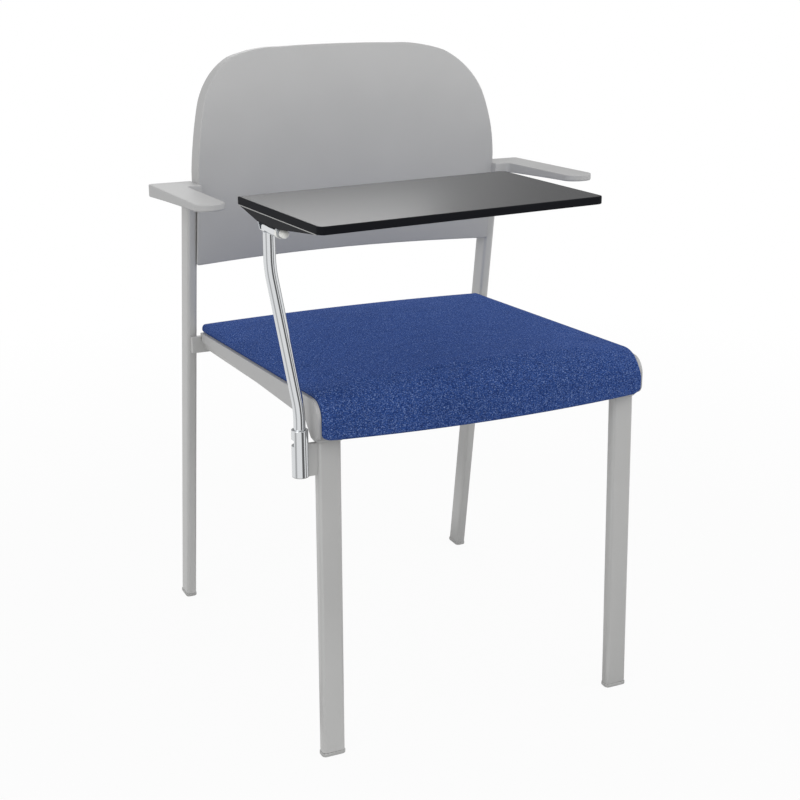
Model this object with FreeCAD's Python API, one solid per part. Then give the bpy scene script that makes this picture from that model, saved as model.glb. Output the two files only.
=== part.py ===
import FreeCAD, Part
import math
import os

# Tablet arm chair, millimetres. The chair is drawn with its front feet on y = 0, facing -Y, and the floor
# at z = 0. save() then moves every piece so that the origin lies on the floor under the middle of the chair.

V = FreeCAD.Vector
X_AXIS = V(1, 0, 0)
Y_AXIS = V(0, 1, 0)
Z_AXIS = V(0, 0, 1)
LEFT, RIGHT = -1, 1
FRAME_SHIFT_Y = 196.77
CUT_REACH = 100.0
SCREW_SLACK = 0.1
CONTACT_GAP = 0.05

# Flat-sided steel tube of the frame
TUBE_WIDE = 30.0
TUBE_NARROW = 15.0
TUBE_CORNER = 4.5
TUBE_WALL = 1.5
BORE_INSET = 1.0

# Front legs, which bend back at the knee and run on as the seat rails
FRONT_FOOT_X = 208.5
KNEE_X = 204.3
KNEE_Y = 9.6
KNEE_Z = 445.0
KNEE_RADIUS = 30.0
RAIL_END_Y = 438.0
RAIL_DROP = 0.049
FOOT_GAP = 5.0

# Rear legs, raked so that the feet stand behind the arms
REAR_LEG_X = 234.7
REAR_FOOT_Y = 525.0
REAR_RAKE = 0.15
REAR_LEG_TOP = 651.0

# Seat shell and pad
SEAT_REAR_Y = 440.0
SEAT_REAR_Z = 441.0
SEAT_RISE = 0.0625
SHELL_HALF_WIDTH = 224.0
SHELL_WALL = 3.0
SHELL_NOSE_Y = -3.0
SHELL_NOSE_RADIUS = 22.0
SHELL_FRONT_Z = 419.5
CHEEK_THICK = 4.6
CHEEK_FORWARD = 7.0
CHEEK_CORNER = 12.0
PAD_HALF_WIDTH = 219.0
PAD_EDGE = 14.0
PAD_CROWN = 7.0
PAD_FRONT_Z = 421.5
PAD_FRONT_Y = -31.0
PAD_FRONT_BOW = 18.0
PAD_ROLL = 38.0
PAD_ROLL_DROP = 0.86
PAD_ROLL_MIDDLE = (0.30, 0.235)
PAD_LIP_MIDDLE = 0.3
PAD_CORNER_LIFT = 2.2
PAD_LIP = 4.0
PAD_GAP = 0.3

# Backrest shell
BACK_HALF_WIDTH = 225.5
BACK_BOTTOM_Z = 541.5
BACK_TOP_Z = 835.0
BACK_SKIN = 5.0
BACK_RIM = 4.0
BACK_SAG = 30.0
LUMBAR_Z = 705.0
LUMBAR_Y = 407.0
LUMBAR_CURVE = 7.06e-4
HEAD_Z = 750.0
HEAD_CURVE = 1.1e-3

# Arms
ARM_OUTER_X = 287.4
ARM_INNER_X = 247.0
ARM_LEG_X = 225.8
ARM_FRONT_Y = 219.0
ARM_REAR_Y = 447.0
ARM_STEP_Y = 397.0
ARM_REAR_Z = 657.0
ARM_FRONT_Z = 666.0
ARM_REAR_DEPTH = 18.0
ARM_FRONT_DEPTH = 9.0

# Swivel socket on the left front leg
SOCKET_X = -241.0
SOCKET_Y = 5.0
SOCKET_BOTTOM_Z = 377.0
SOCKET_TOP_Z = 435.0
SOCKET_RADIUS = 10.0
STEM_RADIUS = 7.0
STEM_WALL = 1.5
RUNNING_GAP = 0.05
SLOT_LOW_Z = 415.4
SLOT_HIGH_Z = 423.4
SLOT_FROM_DEG = -28.0
SLOT_TO_DEG = 200.0
STOP_PIN_DEG = 95.0
STOP_PIN_RADIUS = 2.5
STOP_PIN_PROUD = 1.0
REST_SWIVEL_DEG = 4.9

# Stem, bent outwards between socket and hinge
STEM_OFFSET = 32.0
STEM_BEND_LOW_Z = 458.6
STEM_BEND_HIGH_Z = 631.3
STEM_BEND_RADIUS = 150.0

# Tilt hinge under the tablet's left edge
HINGE_X = SOCKET_X - STEM_OFFSET
HINGE_Z = 676.0
BARREL_RADIUS = 6.0
BARREL_REAR = 7.5
BARREL_FRONT = 27.0
PIN_RADIUS = 3.0
EAR_THICK = 3.0
WASHER_THICK = 5.0
WASHER_LIP = 0.4
DOG_LENGTH = 4.0
TILT_TRAVEL_DEG = 90.0

# Tablet
BOARD_LENGTH = 360.0
BOARD_DEPTH = 205.0
BOARD_THICK = 9.0
BOARD_TOP_Z = 704.0
BOARD_CORNER = 8.0
BOARD_SHARP_CORNER = 2.5
BOARD_EDGE = 1.2
BOARD_LEFT_X = HINGE_X - 13.0
BOARD_MID_Y = SOCKET_Y - 47.7
COVER_WIDTH = 75.0
COVER_FRONT = -97.0
COVER_REAR = 101.0
COVER_DROP = 11.0

# Glides, rail brackets and cross tubes
GLIDE_LIP = 0.8
GLIDE_PLUG_HEIGHT = 14.0
GLIDE_PLUG_SLACK = 0.4
GLIDE_PLUG_CORNER = 2.5
GLIDE_SOLE_GAP = 0.4
BRACKET_LOW_Z = 402.0
BRACKET_HIGH_Z = 436.0
BRACKET_INNER_X = 192.0
CROSS_TUBE_RADIUS = 11.0
CROSS_TUBE_WALL = 1.5
CROSS_TUBE_YS = {"front_cross_tube": 84.0, "rear_cross_tube": 372.0}

# Seat shell's side walls and leg collars, ribs, mounts and screws
SKIRT_REAR_Z = 429.0
SKIRT_FRONT_Z = 438.0
SKIRT_KNEE_Y = 13.0
SKIRT_KNEE_TURN = (0.46, 0.42)
COLLAR_LIP = 1.5
COLLAR_CORNER = 4.0
COLLAR_LOW_Z = 415.5
COLLAR_REAR_Y = 19.0
COLLAR_NECK = 9.0
LEG_GAP = 0.3
NOTCH_GAP = 0.6
NOTCH_DEPTH = 8.0
SHELL_RIB_XS = (-150.0, -75.0, 0.0, 75.0, 150.0)
SHELL_RIB_FRONT_Y = 110.0
SHELL_RIB_DEPTH = 3.0
SHELL_RIB_THICK = 2.0
SEAT_MOUNT_YS = (60.0, 400.0)
SEAT_MOUNT_HALF = 8.0
SEAT_SCREW_RADIUS = 3.0
SEAT_SCREW_HEAD = (5.5, 3.0)

# Sections of the pad: shares of its half width, and how far each is drawn in
PAD_MIDDLE_SHARES = (-0.96, -0.48, 0.0, 0.48, 0.96)
PAD_SIDE_SECTIONS = ((0.96, 0.0), (0.98, 1.1), (0.993, 3.2), (1.0, 6.5))

# Sections and outline of the back: depths by level, and points on the arcs of its right half
BACK_LEVELS = (530.0, 590.0, 650.0, 690.0, 730.0, 770.0, 806.0, 845.0)
BACK_SIDE_DEPTHS = (33.0, 33.0, 33.0, 32.0, 31.0, 31.0, 32.0, 33.0)
BACK_REACH_X = 260.0
BACK_SHOULDER_Z = 672.0
BACK_SIDE_POINTS = (
    (222.6, 715.0), (212.9, 758.4), (195.0, 791.0), (160.0, 820.0), (127.0, 829.8), (90.0, 833.2)
)
BACK_INSET_SHARES = ((1.0, 0.0), (1.0, 0.0), (0.75, 0.65), (0.45, 0.9), (0.25, 1.0), (0.1, 1.0))
BACK_FOOT_RADIUS = 8.0
BACK_CUT_AHEAD = 60.0
BACK_CUT_THROUGH = 200.0
BACK_ROOM_DEPTH = 120.0
BACK_SCREW_PLACES = ((438.0, 580.0), (430.5, 630.0))
BACK_SCREW_RADIUS = 2.5
BACK_SCREW_LENGTH = 11.0
BACK_SCREW_HEAD = (5.0, 2.6)
BACK_BOSS_RADIUS = 8.0

# Corners and edges of the arms
ARM_FRONT_CORNER = 18.5
ARM_REAR_CORNER = 6.0
ARM_STEP_CORNER = 9.0
ARM_EDGE = 1.8
ARM_BELLY_RISE = 5.0
ARM_BELLY_SHARE = 0.55
ARM_MARGIN = 10.0
ARM_BLANK_HALF = 40.0
ARM_LEG_GAP = 0.15
ARM_SCREW_BELOW_MIDDLE = 2.0
ARM_SCREW_RADIUS = 2.5
ARM_SCREW_LENGTH = 14.0
ARM_SCREW_HEAD = (4.6, 2.4)

# Socket plate, plug and stem foot
SOCKET_PLATE_THICK = 6.0
SOCKET_PLATE_LOW_Z = 375.0
SOCKET_PLATE_TOP_Z = 415.2
SOCKET_PLATE_Y = 4.0
SOCKET_PLUG_TOP_Z = SOCKET_BOTTOM_Z + 5.0
SOCKET_PLUG_FLANGE = 0.4
STEM_FOOT_FLANGE = 2.0
STEM_FOOT_CORE = 12.0
STEM_FOOT_GAP = 0.3
STEM_LOW_Z = SOCKET_PLUG_TOP_Z + STEM_FOOT_GAP + STEM_FOOT_FLANGE
STEM_TOP_Z = HINGE_Z - 2.0
STOP_PIN_Z = (SLOT_LOW_Z + SLOT_HIGH_Z) / 2

# Stop dogs, hinge bracket, caps and cover of the tilt hinge
BARREL_REAR_Y = SOCKET_Y + BARREL_REAR
BARREL_FRONT_Y = SOCKET_Y - BARREL_FRONT
DOG_GAP_DEG = 3.0
BARREL_DOG_FROM_DEG = 200.0
BARREL_DOG_SPAN_DEG = 110.0
BRACKET_PLATE = 2.5
BRACKET_PLATE_FROM = 3.0
BRACKET_PLATE_TO = 57.0
BRACKET_AHEAD = 8.0
EAR_GAP = 0.3
FRONT_EAR_Y = BARREL_FRONT_Y - WASHER_THICK - EAR_GAP - EAR_THICK
REAR_EAR_Y = BARREL_REAR_Y + DOG_LENGTH + EAR_GAP
EAR_RADIUS = 5.5
EAR_TOP_TO = 34.0
BOARD_BOTTOM_Z = BOARD_TOP_Z - BOARD_THICK
BOARD_SCREW_RADIUS = 2.0
BOARD_SCREW_DEPTH = 6.5
BOARD_SCREW_HEAD = (3.6, 2.0)
BOARD_SCREW_XS = (20.0, 44.0)
BOARD_SCREW_FROM_EAR = 10.0
CAP_BORE = 4.5
REAR_CAP_BORE = 0.8
REAR_CAP_STRAIGHT = 0.6
REAR_CAP_DOME = 1.4
CAP_RADIUS = 4.7
CAP_STRAIGHT = 6.2
CAP_DOME = 3.6
COVER_LOW_WIDTH = 30.0
COVER_TOP_SETBACK = 0.8
COVER_LOW_SETBACK = 1.4
COVER_LOW_FRONT = -1.0
COVER_LOW_REAR = 52.0
COVER_WALL = 1.8
COVER_SLOT_FROM = 2.3
COVER_SLOT_TO = 38.8
COVER_SLOT_SLACK = 0.3
COVER_DRAW = (5.0, 3.0)


def save(node, shape):
    """Writes one node in the part's own frame."""
    placed = shape.copy()
    placed.translate(V(0, -FRAME_SHIFT_Y, 0))
    placed.exportStep("parts/" + node + ".step")
    print(node, "valid" if shape.isValid() else "INVALID", len(shape.Solids), round(shape.Volume))


def polygon(points):
    """Closed wire through the points."""
    return Part.makePolygon(list(points) + [points[0]])


def prism(wire, sweep):
    """Solid of a flat closed wire carried along a vector."""
    return Part.Face(wire).extrude(sweep)


def arc(start, middle, end):
    return Part.Arc(start, middle, end).toShape()


def line(start, end):
    return Part.makeLine(start, end)


def rod(radius, length, base, direction):
    return Part.makeCylinder(radius, length, base, direction)


def drill(radius, middle, direction, reach=CUT_REACH):
    """Rod that reaches equally far both ways from a point, for cutting a hole."""
    return rod(radius, 2 * reach, middle - direction * reach, direction)


def mirrored(shape):
    """The right-hand twin of a left-hand shape."""
    return shape.mirror(V(0, 0, 0), X_AXIS)


def group(shapes):
    return Part.makeCompound(shapes)


def rounded_rectangle(centre, along, across, length, width, radius, rear_left=None):
    """Wire of a rectangle with round corners, in the plane of two unit vectors; one corner may be sharper."""
    edges = []
    corners = {(1, 1): radius, (-1, 1): rear_left or radius, (-1, -1): radius, (1, -1): radius}
    starts = []
    for (i, j), radius in corners.items():
        inner_l = length / 2 - radius
        inner_w = width / 2 - radius
        diagonal = radius * math.sqrt(0.5)
        hub = centre + along * (i * inner_l) + across * (j * inner_w)
        side = hub + along * (i * radius)
        end = hub + across * (j * radius)
        middle = hub + along * (i * diagonal) + across * (j * diagonal)
        first, last = (side, end) if i * j > 0 else (end, side)
        starts.append((first, middle, last))
    for k in range(4):
        first, middle, last = starts[k]
        edges.append(arc(first, middle, last))
        edges.append(line(last, starts[(k + 1) % 4][0]))
    return Part.Wire(Part.__sortEdges__(edges))


def bent_path(points, radius):
    """Wire of straight runs joined by tangent arcs of one radius."""
    edges = []
    begin = points[0]
    for k in range(1, len(points) - 1):
        corner = points[k]
        back = (points[k - 1] - corner).normalize()
        ahead = (points[k + 1] - corner).normalize()
        half = back.getAngle(ahead) / 2
        reach = radius / math.tan(half)
        bisector = (back + ahead).normalize()
        hub = corner + bisector * (radius / math.sin(half))
        first = corner + back * reach
        last = corner + ahead * reach
        edges.append(line(begin, first))
        edges.append(arc(first, hub - bisector * radius, last))
        begin = last
    edges.append(line(begin, points[-1]))
    return Part.Wire(edges)


def swept(path, profile):
    return path.makePipeShell([profile], True, False)


# Frame


def front_leg_path():
    """Left leg from its foot up to the knee and back along the seat rail."""
    lean = (FRONT_FOOT_X - KNEE_X) / KNEE_Z
    foot = V(-FRONT_FOOT_X + lean * FOOT_GAP, KNEE_Y * FOOT_GAP / KNEE_Z, FOOT_GAP)
    knee = V(-KNEE_X, KNEE_Y, KNEE_Z)
    tail = V(-KNEE_X, RAIL_END_Y, KNEE_Z - RAIL_DROP * (RAIL_END_Y - KNEE_Y))
    return foot, knee, tail


def front_leg(grow=0.0, solid=False):
    """Bent tube of the left front leg and seat rail, with the holes of the seat screws."""
    foot, knee, tail = front_leg_path()
    path = bent_path([foot, knee, tail], KNEE_RADIUS)
    up = (knee - foot).normalize()
    across = up.cross((tail - knee).normalize()).normalize()
    depth = up.cross(across).normalize()
    outside = rounded_rectangle(
        foot, across, depth, TUBE_WIDE + 2 * grow, TUBE_NARROW + 2 * grow, TUBE_CORNER + grow
    )
    body = swept(path, outside)
    if solid:
        return body
    half_wide = across * (TUBE_WIDE / 2 - TUBE_WALL - BORE_INSET)
    half_deep = depth * (TUBE_NARROW / 2 - TUBE_WALL)
    inside = polygon([
        foot + half_wide + half_deep,
        foot - half_wide + half_deep,
        foot - half_wide - half_deep,
        foot + half_wide - half_deep,
    ])
    body = body.cut(swept(path, inside))
    for y in SEAT_MOUNT_YS:
        body = body.cut(drill(SEAT_SCREW_RADIUS + SCREW_SLACK, V(-KNEE_X, y, rail_z(y)), Z_AXIS))
    return body


def rail_z(y):
    """Height of the rail's centre line."""
    return KNEE_Z - RAIL_DROP * (y - KNEE_Y)


def rear_leg_y(z):
    """Depth of the rear leg's centre line."""
    return REAR_FOOT_Y - REAR_RAKE * z


def rear_leg(grow=0.0, solid=False):
    """Straight raked tube of the left rear leg, cut level at both ends."""
    base = V(-REAR_LEG_X, rear_leg_y(FOOT_GAP), FOOT_GAP)
    rise = REAR_LEG_TOP - FOOT_GAP + grow
    sweep = V(0, -REAR_RAKE * rise, rise)
    outside = rounded_rectangle(
        base, X_AXIS, Y_AXIS, TUBE_NARROW + 2 * grow, TUBE_WIDE + 2 * grow, TUBE_CORNER + grow
    )
    body = prism(outside, sweep)
    if solid:
        return body
    bore = TUBE_WALL * 2
    inside = rounded_rectangle(
        base, X_AXIS, Y_AXIS, TUBE_NARROW - bore, TUBE_WIDE - bore, TUBE_CORNER - TUBE_WALL
    )
    body = body.cut(prism(inside, sweep))
    for y, z in BACK_SCREW_PLACES:
        body = body.cut(rod(BACK_SCREW_RADIUS + SCREW_SLACK, TUBE_NARROW, V(-REAR_LEG_X, y, z), X_AXIS))
    y, z = arm_screw_place()
    return body.cut(rod(ARM_SCREW_RADIUS + SCREW_SLACK, TUBE_WIDE, V(-REAR_LEG_X, rear_leg_y(z), z), Y_AXIS))


def glide(x, y, wide_x, wide_y, lean_x, lean_y):
    """Foot of one leg: a sole just wider than the tube, with a plug that follows the leg."""
    length = wide_x + 2 * GLIDE_LIP
    width = wide_y + 2 * GLIDE_LIP
    outline = rounded_rectangle(V(x, y, 0), X_AXIS, Y_AXIS, length, width, TUBE_CORNER + GLIDE_LIP)
    sole = prism(outline, V(0, 0, FOOT_GAP - GLIDE_SOLE_GAP))
    inset = 2 * (TUBE_WALL + BORE_INSET + GLIDE_PLUG_SLACK)
    plug = prism(
        rounded_rectangle(V(x, y, 0), X_AXIS, Y_AXIS, wide_x - inset, wide_y - inset, GLIDE_PLUG_CORNER),
        V(lean_x * GLIDE_PLUG_HEIGHT, lean_y * GLIDE_PLUG_HEIGHT, GLIDE_PLUG_HEIGHT),
    )
    return sole.fuse(plug).removeSplitter()


def rail_bracket():
    """Block that joins the left seat rail to the rear leg; its back follows the leg's rake."""
    def leg_front(z):
        return rear_leg_y(z) - TUBE_WIDE / 2

    outer_x = REAR_LEG_X + TUBE_NARROW / 2 - TUBE_CORNER
    side = polygon([
        V(-outer_x, RAIL_END_Y, BRACKET_LOW_Z),
        V(-outer_x, leg_front(BRACKET_LOW_Z), BRACKET_LOW_Z),
        V(-outer_x, leg_front(BRACKET_HIGH_Z), BRACKET_HIGH_Z),
        V(-outer_x, RAIL_END_Y, BRACKET_HIGH_Z),
    ])
    block = prism(side, V(outer_x - BRACKET_INNER_X, 0, 0))
    return block.cut(front_leg(solid=True))


def cross_tube(y):
    """Round tube welded between the two seat rails."""
    reach = KNEE_X - TUBE_WIDE / 2
    base = V(-reach, y, rail_z(y))
    outside = rod(CROSS_TUBE_RADIUS, 2 * reach, base, X_AXIS)
    return outside.cut(rod(CROSS_TUBE_RADIUS - CROSS_TUBE_WALL, 2 * reach, base, X_AXIS))


# Seat


def deck_z(y):
    """Height of the shell's deck, on which the pad lies."""
    return SEAT_REAR_Z + SEAT_RISE * (SEAT_REAR_Y - y)


def nose_arc(x, offset, forward=0.0):
    """Rounded front edge of the deck, moved outwards or forward: its start, middle and end on the deck."""
    hub_y = SHELL_NOSE_Y + SHELL_NOSE_RADIUS - forward
    hub_z = deck_z(hub_y) - SHELL_NOSE_RADIUS
    radius = SHELL_NOSE_RADIUS + offset
    points = []
    for degrees in (180, 135, 90):
        turn = math.radians(degrees)
        points.append(V(x, hub_y + radius * math.cos(turn), hub_z + radius * math.sin(turn)))
    return points


def skirt_outline(x, forward):
    """Side wall of the shell, level with the deck, reaching forward and arched over the leg's knee."""
    low, mid, high = nose_arc(x, 0, forward)
    share = CHEEK_CORNER * (1 - math.sqrt(0.5))
    front_high = V(x, low.y, SHELL_FRONT_Z + CHEEK_CORNER)
    front_turn = V(x, low.y + share, SHELL_FRONT_Z + share)
    front_low = V(x, low.y + CHEEK_CORNER, SHELL_FRONT_Z)
    leg_back = V(x, SKIRT_KNEE_Y, SHELL_FRONT_Z)
    reach = SKIRT_FRONT_Z - SHELL_FRONT_Z
    back, up = SKIRT_KNEE_TURN
    turn = V(x, leg_back.y + reach * back, SHELL_FRONT_Z + reach * up)
    knee = V(x, leg_back.y + reach, SKIRT_FRONT_Z)
    rear_low = V(x, SEAT_REAR_Y, SKIRT_REAR_Z)
    rear_high = V(x, SEAT_REAR_Y, SEAT_REAR_Z)
    return Part.Wire([
        line(front_low, leg_back),
        arc(leg_back, turn, knee),
        line(knee, rear_low),
        line(rear_low, rear_high),
        line(rear_high, high),
        arc(high, mid, low),
        line(low, front_high),
        arc(front_high, front_turn, front_low),
    ])


def seat_shell():
    """Moulded shell: a deck with a rounded nose, cheeks beside the pad, a rear wall and leg collars."""
    outer = prism(skirt_outline(-SHELL_HALF_WIDTH, 0), V(2 * SHELL_HALF_WIDTH, 0, 0))
    side_x = SHELL_HALF_WIDTH - SHELL_WALL
    low, mid, high = nose_arc(-side_x, -SHELL_WALL)
    far = V(-side_x, SEAT_REAR_Y - SHELL_WALL, deck_z(SEAT_REAR_Y - SHELL_WALL) - SHELL_WALL)
    below = SHELL_FRONT_Z - SHELL_NOSE_RADIUS
    room = Part.Wire([
        line(V(-side_x, low.y, below), V(-side_x, far.y, below)),
        line(V(-side_x, far.y, below), far),
        line(far, high),
        arc(high, mid, low),
        line(low, V(-side_x, low.y, below)),
    ])
    shell = outer.cut(prism(room, V(2 * side_x, 0, 0)))
    holes = []
    for y in SEAT_MOUNT_YS:
        for x in (-KNEE_X, KNEE_X):
            holes.append(drill(SEAT_SCREW_RADIUS, V(x, y, deck_z(y)), Z_AXIS))
    ribs = []
    for x in SHELL_RIB_XS:
        left = x - SHELL_RIB_THICK / 2
        front_high = V(left, SHELL_RIB_FRONT_Y, deck_z(SHELL_RIB_FRONT_Y) - SHELL_WALL)
        rear_high = V(left, far.y, deck_z(far.y) - SHELL_WALL)
        drop = V(0, 0, -SHELL_RIB_DEPTH)
        rib = polygon([front_high, rear_high, rear_high + drop, front_high + drop])
        ribs.append(prism(rib, V(SHELL_RIB_THICK, 0, 0)))
    cheek = prism(skirt_outline(-SHELL_HALF_WIDTH, CHEEK_FORWARD), V(CHEEK_THICK, 0, 0))
    collar = leg_collar()
    sides = [cheek, mirrored(cheek), collar, mirrored(collar)]
    leg = front_leg(grow=LEG_GAP, solid=True)
    notch = Part.makeBox(
        SHELL_HALF_WIDTH - KNEE_X + TUBE_WIDE / 2 + 2 * NOTCH_GAP,
        NOTCH_DEPTH,
        BRACKET_HIGH_Z + NOTCH_GAP - BRACKET_LOW_Z,
        V(-SHELL_HALF_WIDTH - NOTCH_GAP, RAIL_END_Y - NOTCH_DEPTH / 2, BRACKET_LOW_Z),
    )
    openings = holes + [notch, mirrored(notch), leg, mirrored(leg)]
    return shell.fuse(sides + ribs).cut(openings).removeSplitter()


def leg_collar():
    """Funnel at the shell's left front corner, from its full width down to just round the leg."""
    inner_x = KNEE_X - TUBE_WIDE / 2 - COLLAR_LIP
    outer_x = SHELL_HALF_WIDTH - COLLAR_LIP
    centre_x = -(outer_x + inner_x) / 2
    width = outer_x - inner_x

    def level(z, x, front, rear, wide):
        centre = V(x, (front + rear) / 2, z)
        return rounded_rectangle(centre, X_AXIS, Y_AXIS, wide, rear - front, COLLAR_CORNER)

    leg_y = KNEE_Y * COLLAR_LOW_Z / KNEE_Z
    reach = TUBE_NARROW / 2 + COLLAR_LIP
    wide = level(SHELL_FRONT_Z, centre_x, SHELL_NOSE_Y, COLLAR_REAR_Y, width)
    tight = level(COLLAR_LOW_Z, -KNEE_X, leg_y - reach, leg_y + reach, TUBE_WIDE + 2 * COLLAR_LIP)
    return Part.makeLoft([tight, wide], True, True).fuse(prism(wide, V(0, 0, COLLAR_NECK)))


def seat_mounts():
    """Spacers between rail and shell, cut to the slopes of both and bored for the screws."""
    spacers = []
    for y in SEAT_MOUNT_YS:
        foot_z = rail_z(y) + TUBE_NARROW / 2 + RAIL_DROP * SEAT_MOUNT_HALF + CONTACT_GAP
        top_z = deck_z(y) - SHELL_WALL - SEAT_RISE * SEAT_MOUNT_HALF - CONTACT_GAP
        for x in (-KNEE_X, KNEE_X):
            corner = V(x - SEAT_MOUNT_HALF, y - SEAT_MOUNT_HALF, foot_z)
            spacer = Part.makeBox(2 * SEAT_MOUNT_HALF, 2 * SEAT_MOUNT_HALF, top_z - foot_z, corner)
            spacers.append(spacer.cut(drill(SEAT_SCREW_RADIUS, V(x, y, foot_z), Z_AXIS)))
    return group(spacers)


def screw(radius, length, head_radius, head_height, base, direction):
    """Hexagon-head screw: the head ends at base, and the shank runs on along direction."""
    along = Z_AXIS if abs(direction.z) < 0.5 else X_AXIS
    across = direction.cross(along)
    corners = []
    for k in range(6):
        turn = math.radians(60 * k)
        outward = along * math.cos(turn) + across * math.sin(turn)
        corners.append(base + outward * head_radius)
    head = prism(polygon(corners), direction * -head_height)
    return head.fuse(rod(radius, length, base, direction))


def seat_screws():
    screws = []
    for y in SEAT_MOUNT_YS:
        under = rail_z(y) - TUBE_NARROW / 2 - RAIL_DROP * SEAT_MOUNT_HALF
        top = deck_z(y) - SHELL_WALL / 2
        for x in (-KNEE_X, KNEE_X):
            screws.append(screw(SEAT_SCREW_RADIUS, top - under, *SEAT_SCREW_HEAD, V(x, y, under), Z_AXIS))
    return group(screws)


def pad_section(x, shrink):
    """Side view of the pad at one place across the seat; shrink draws the top and the front in."""
    share = x / PAD_HALF_WIDTH
    front = PAD_FRONT_Y + PAD_FRONT_BOW * share * share + shrink / 2
    lift = PAD_EDGE + PAD_CROWN * (1 - share * share) - shrink

    def top_z(y):
        return deck_z(y) + PAD_GAP + lift

    rear = SEAT_REAR_Y - shrink / 2
    rear_low = V(x, rear, deck_z(rear) + PAD_GAP)
    rear_high = V(x, rear, top_z(rear))
    roll_start = V(x, front + PAD_ROLL, top_z(front + PAD_ROLL))
    roll_end = V(x, front, roll_start.z - PAD_ROLL * PAD_ROLL_DROP)
    back, down = PAD_ROLL_MIDDLE
    roll_mid = V(x, front + PAD_ROLL * back, roll_start.z - PAD_ROLL * down)
    lip = PAD_LIP
    foot = PAD_FRONT_Z + PAD_CORNER_LIFT * shrink
    lip_start = V(x, front, foot + lip)
    lip_mid = V(x, front + lip * PAD_LIP_MIDDLE, foot + lip * PAD_LIP_MIDDLE)
    lip_end = V(x, front + lip, foot)
    low, mid, high = nose_arc(x, PAD_GAP)
    back_low = V(x, low.y, foot)
    return Part.Wire([
        line(rear_low, rear_high),
        line(rear_high, roll_start),
        arc(roll_start, roll_mid, roll_end),
        line(roll_end, lip_start),
        arc(lip_start, lip_mid, lip_end),
        line(lip_end, back_low),
        line(back_low, low),
        arc(low, mid, high),
        line(high, rear_low),
    ])


def seat_pad():
    """Upholstered pad: crowned across, rolled over in front, its sides drawn in."""
    pad = Part.makeLoft([pad_section(share * PAD_HALF_WIDTH, 0) for share in PAD_MIDDLE_SHARES], True, False)
    for side in (LEFT, RIGHT):
        edge = [pad_section(side * share * PAD_HALF_WIDTH, shrink) for share, shrink in PAD_SIDE_SECTIONS]
        pad = pad.fuse(Part.makeLoft(edge, True, True))
    return pad.removeSplitter()


# Backrest


def lumbar_y(z):
    """Depth of the backrest's front face along its side edges."""
    lean = HEAD_CURVE * max(0, z - HEAD_Z) ** 2
    return LUMBAR_Y + LUMBAR_CURVE * (z - LUMBAR_Z) ** 2 + lean


def back_arc(z, edge_y, middle_y, flip):
    """Level arc across the back through its edge and middle depths, carried on past the edges."""
    slope = (edge_y - middle_y) / BACK_HALF_WIDTH ** 2
    end_y = middle_y + slope * BACK_REACH_X ** 2
    ends = [V(-BACK_REACH_X, end_y, z), V(BACK_REACH_X, end_y, z)]
    if flip:
        ends.reverse()
    return arc(ends[0], V(0, middle_y, z), ends[1])


def back_layer(front_offset, rear_depths, rear_middle):
    """Body between two doubly curved faces, given by their depths behind the front face."""
    sections = []
    for z, depth in zip(BACK_LEVELS, rear_depths):
        edge = lumbar_y(z)
        middle = edge + BACK_SAG
        face = back_arc(z, edge + front_offset, middle + front_offset, False)
        rear = back_arc(z, edge + depth, middle + rear_middle, True)
        sections.append(Part.Wire([
            face,
            line(face.Vertexes[1].Point, rear.Vertexes[0].Point),
            rear,
            line(rear.Vertexes[1].Point, face.Vertexes[0].Point),
        ]))
    return Part.makeLoft(sections, True, False)


def back_outline(inset):
    """D-shaped outline of the backrest, seen from the front, pulled in by an inset."""
    y = LUMBAR_Y - BACK_CUT_AHEAD
    half = BACK_HALF_WIDTH - inset
    low = BACK_BOTTOM_Z + inset
    foot = BACK_FOOT_RADIUS

    def at(x, z):
        return V(x, y, z)

    def upper_half(side):
        """Points up one side: where the side starts to lean in, two ends of arcs, and the crest."""
        shoulder = at(side * half, BACK_SHOULDER_Z)
        bend, curve, turn, corner, brow, crest = (
            at(side * (x - inset * across), z - inset * down)
            for (x, z), (across, down) in zip(BACK_SIDE_POINTS, BACK_INSET_SHARES)
        )
        return [
            line(at(side * half, low + foot), shoulder),
            arc(shoulder, bend, curve),
            arc(curve, turn, corner),
            arc(corner, brow, crest),
        ], crest

    right_edges, right_crest = upper_half(RIGHT)
    left_edges, left_crest = upper_half(LEFT)
    share = 1 - math.sqrt(0.5)
    edges = [
        line(at(-half + foot, low), at(half - foot, low)),
        arc(at(half - foot, low), at(half - foot * share, low + foot * share), at(half, low + foot)),
        arc(at(-half + foot, low), at(-half + foot * share, low + foot * share), at(-half, low + foot)),
        arc(right_crest, at(0, BACK_TOP_Z - inset), left_crest),
    ]
    edges = Part.__sortEdges__(edges + right_edges + left_edges)
    return Part.Wire(edges)


def backrest():
    """Moulded back shell: a curved skin with a rim that is deep beside the legs and fades at the top."""
    through = V(0, BACK_CUT_THROUGH, 0)
    body = back_layer(0, BACK_SIDE_DEPTHS, BACK_SKIN + 1).common(prism(back_outline(0), through))
    behind = [BACK_ROOM_DEPTH] * len(BACK_LEVELS)
    room = back_layer(BACK_SKIN, behind, BACK_ROOM_DEPTH).common(prism(back_outline(BACK_RIM), through))
    shell = body.cut(room)
    leg_inner = REAR_LEG_X - TUBE_NARROW / 2
    wall_inner = BACK_HALF_WIDTH - BACK_RIM
    for y, z in BACK_SCREW_PLACES:
        for side in (LEFT, RIGHT):
            across = X_AXIS * side
            boss = rod(BACK_BOSS_RADIUS, leg_inner - wall_inner, V(side * wall_inner, y, z), across)
            shell = shell.fuse(boss)
            shell = shell.cut(drill(BACK_SCREW_RADIUS, V(side * wall_inner, y, z), across, TUBE_NARROW / 2))
    return shell


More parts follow.
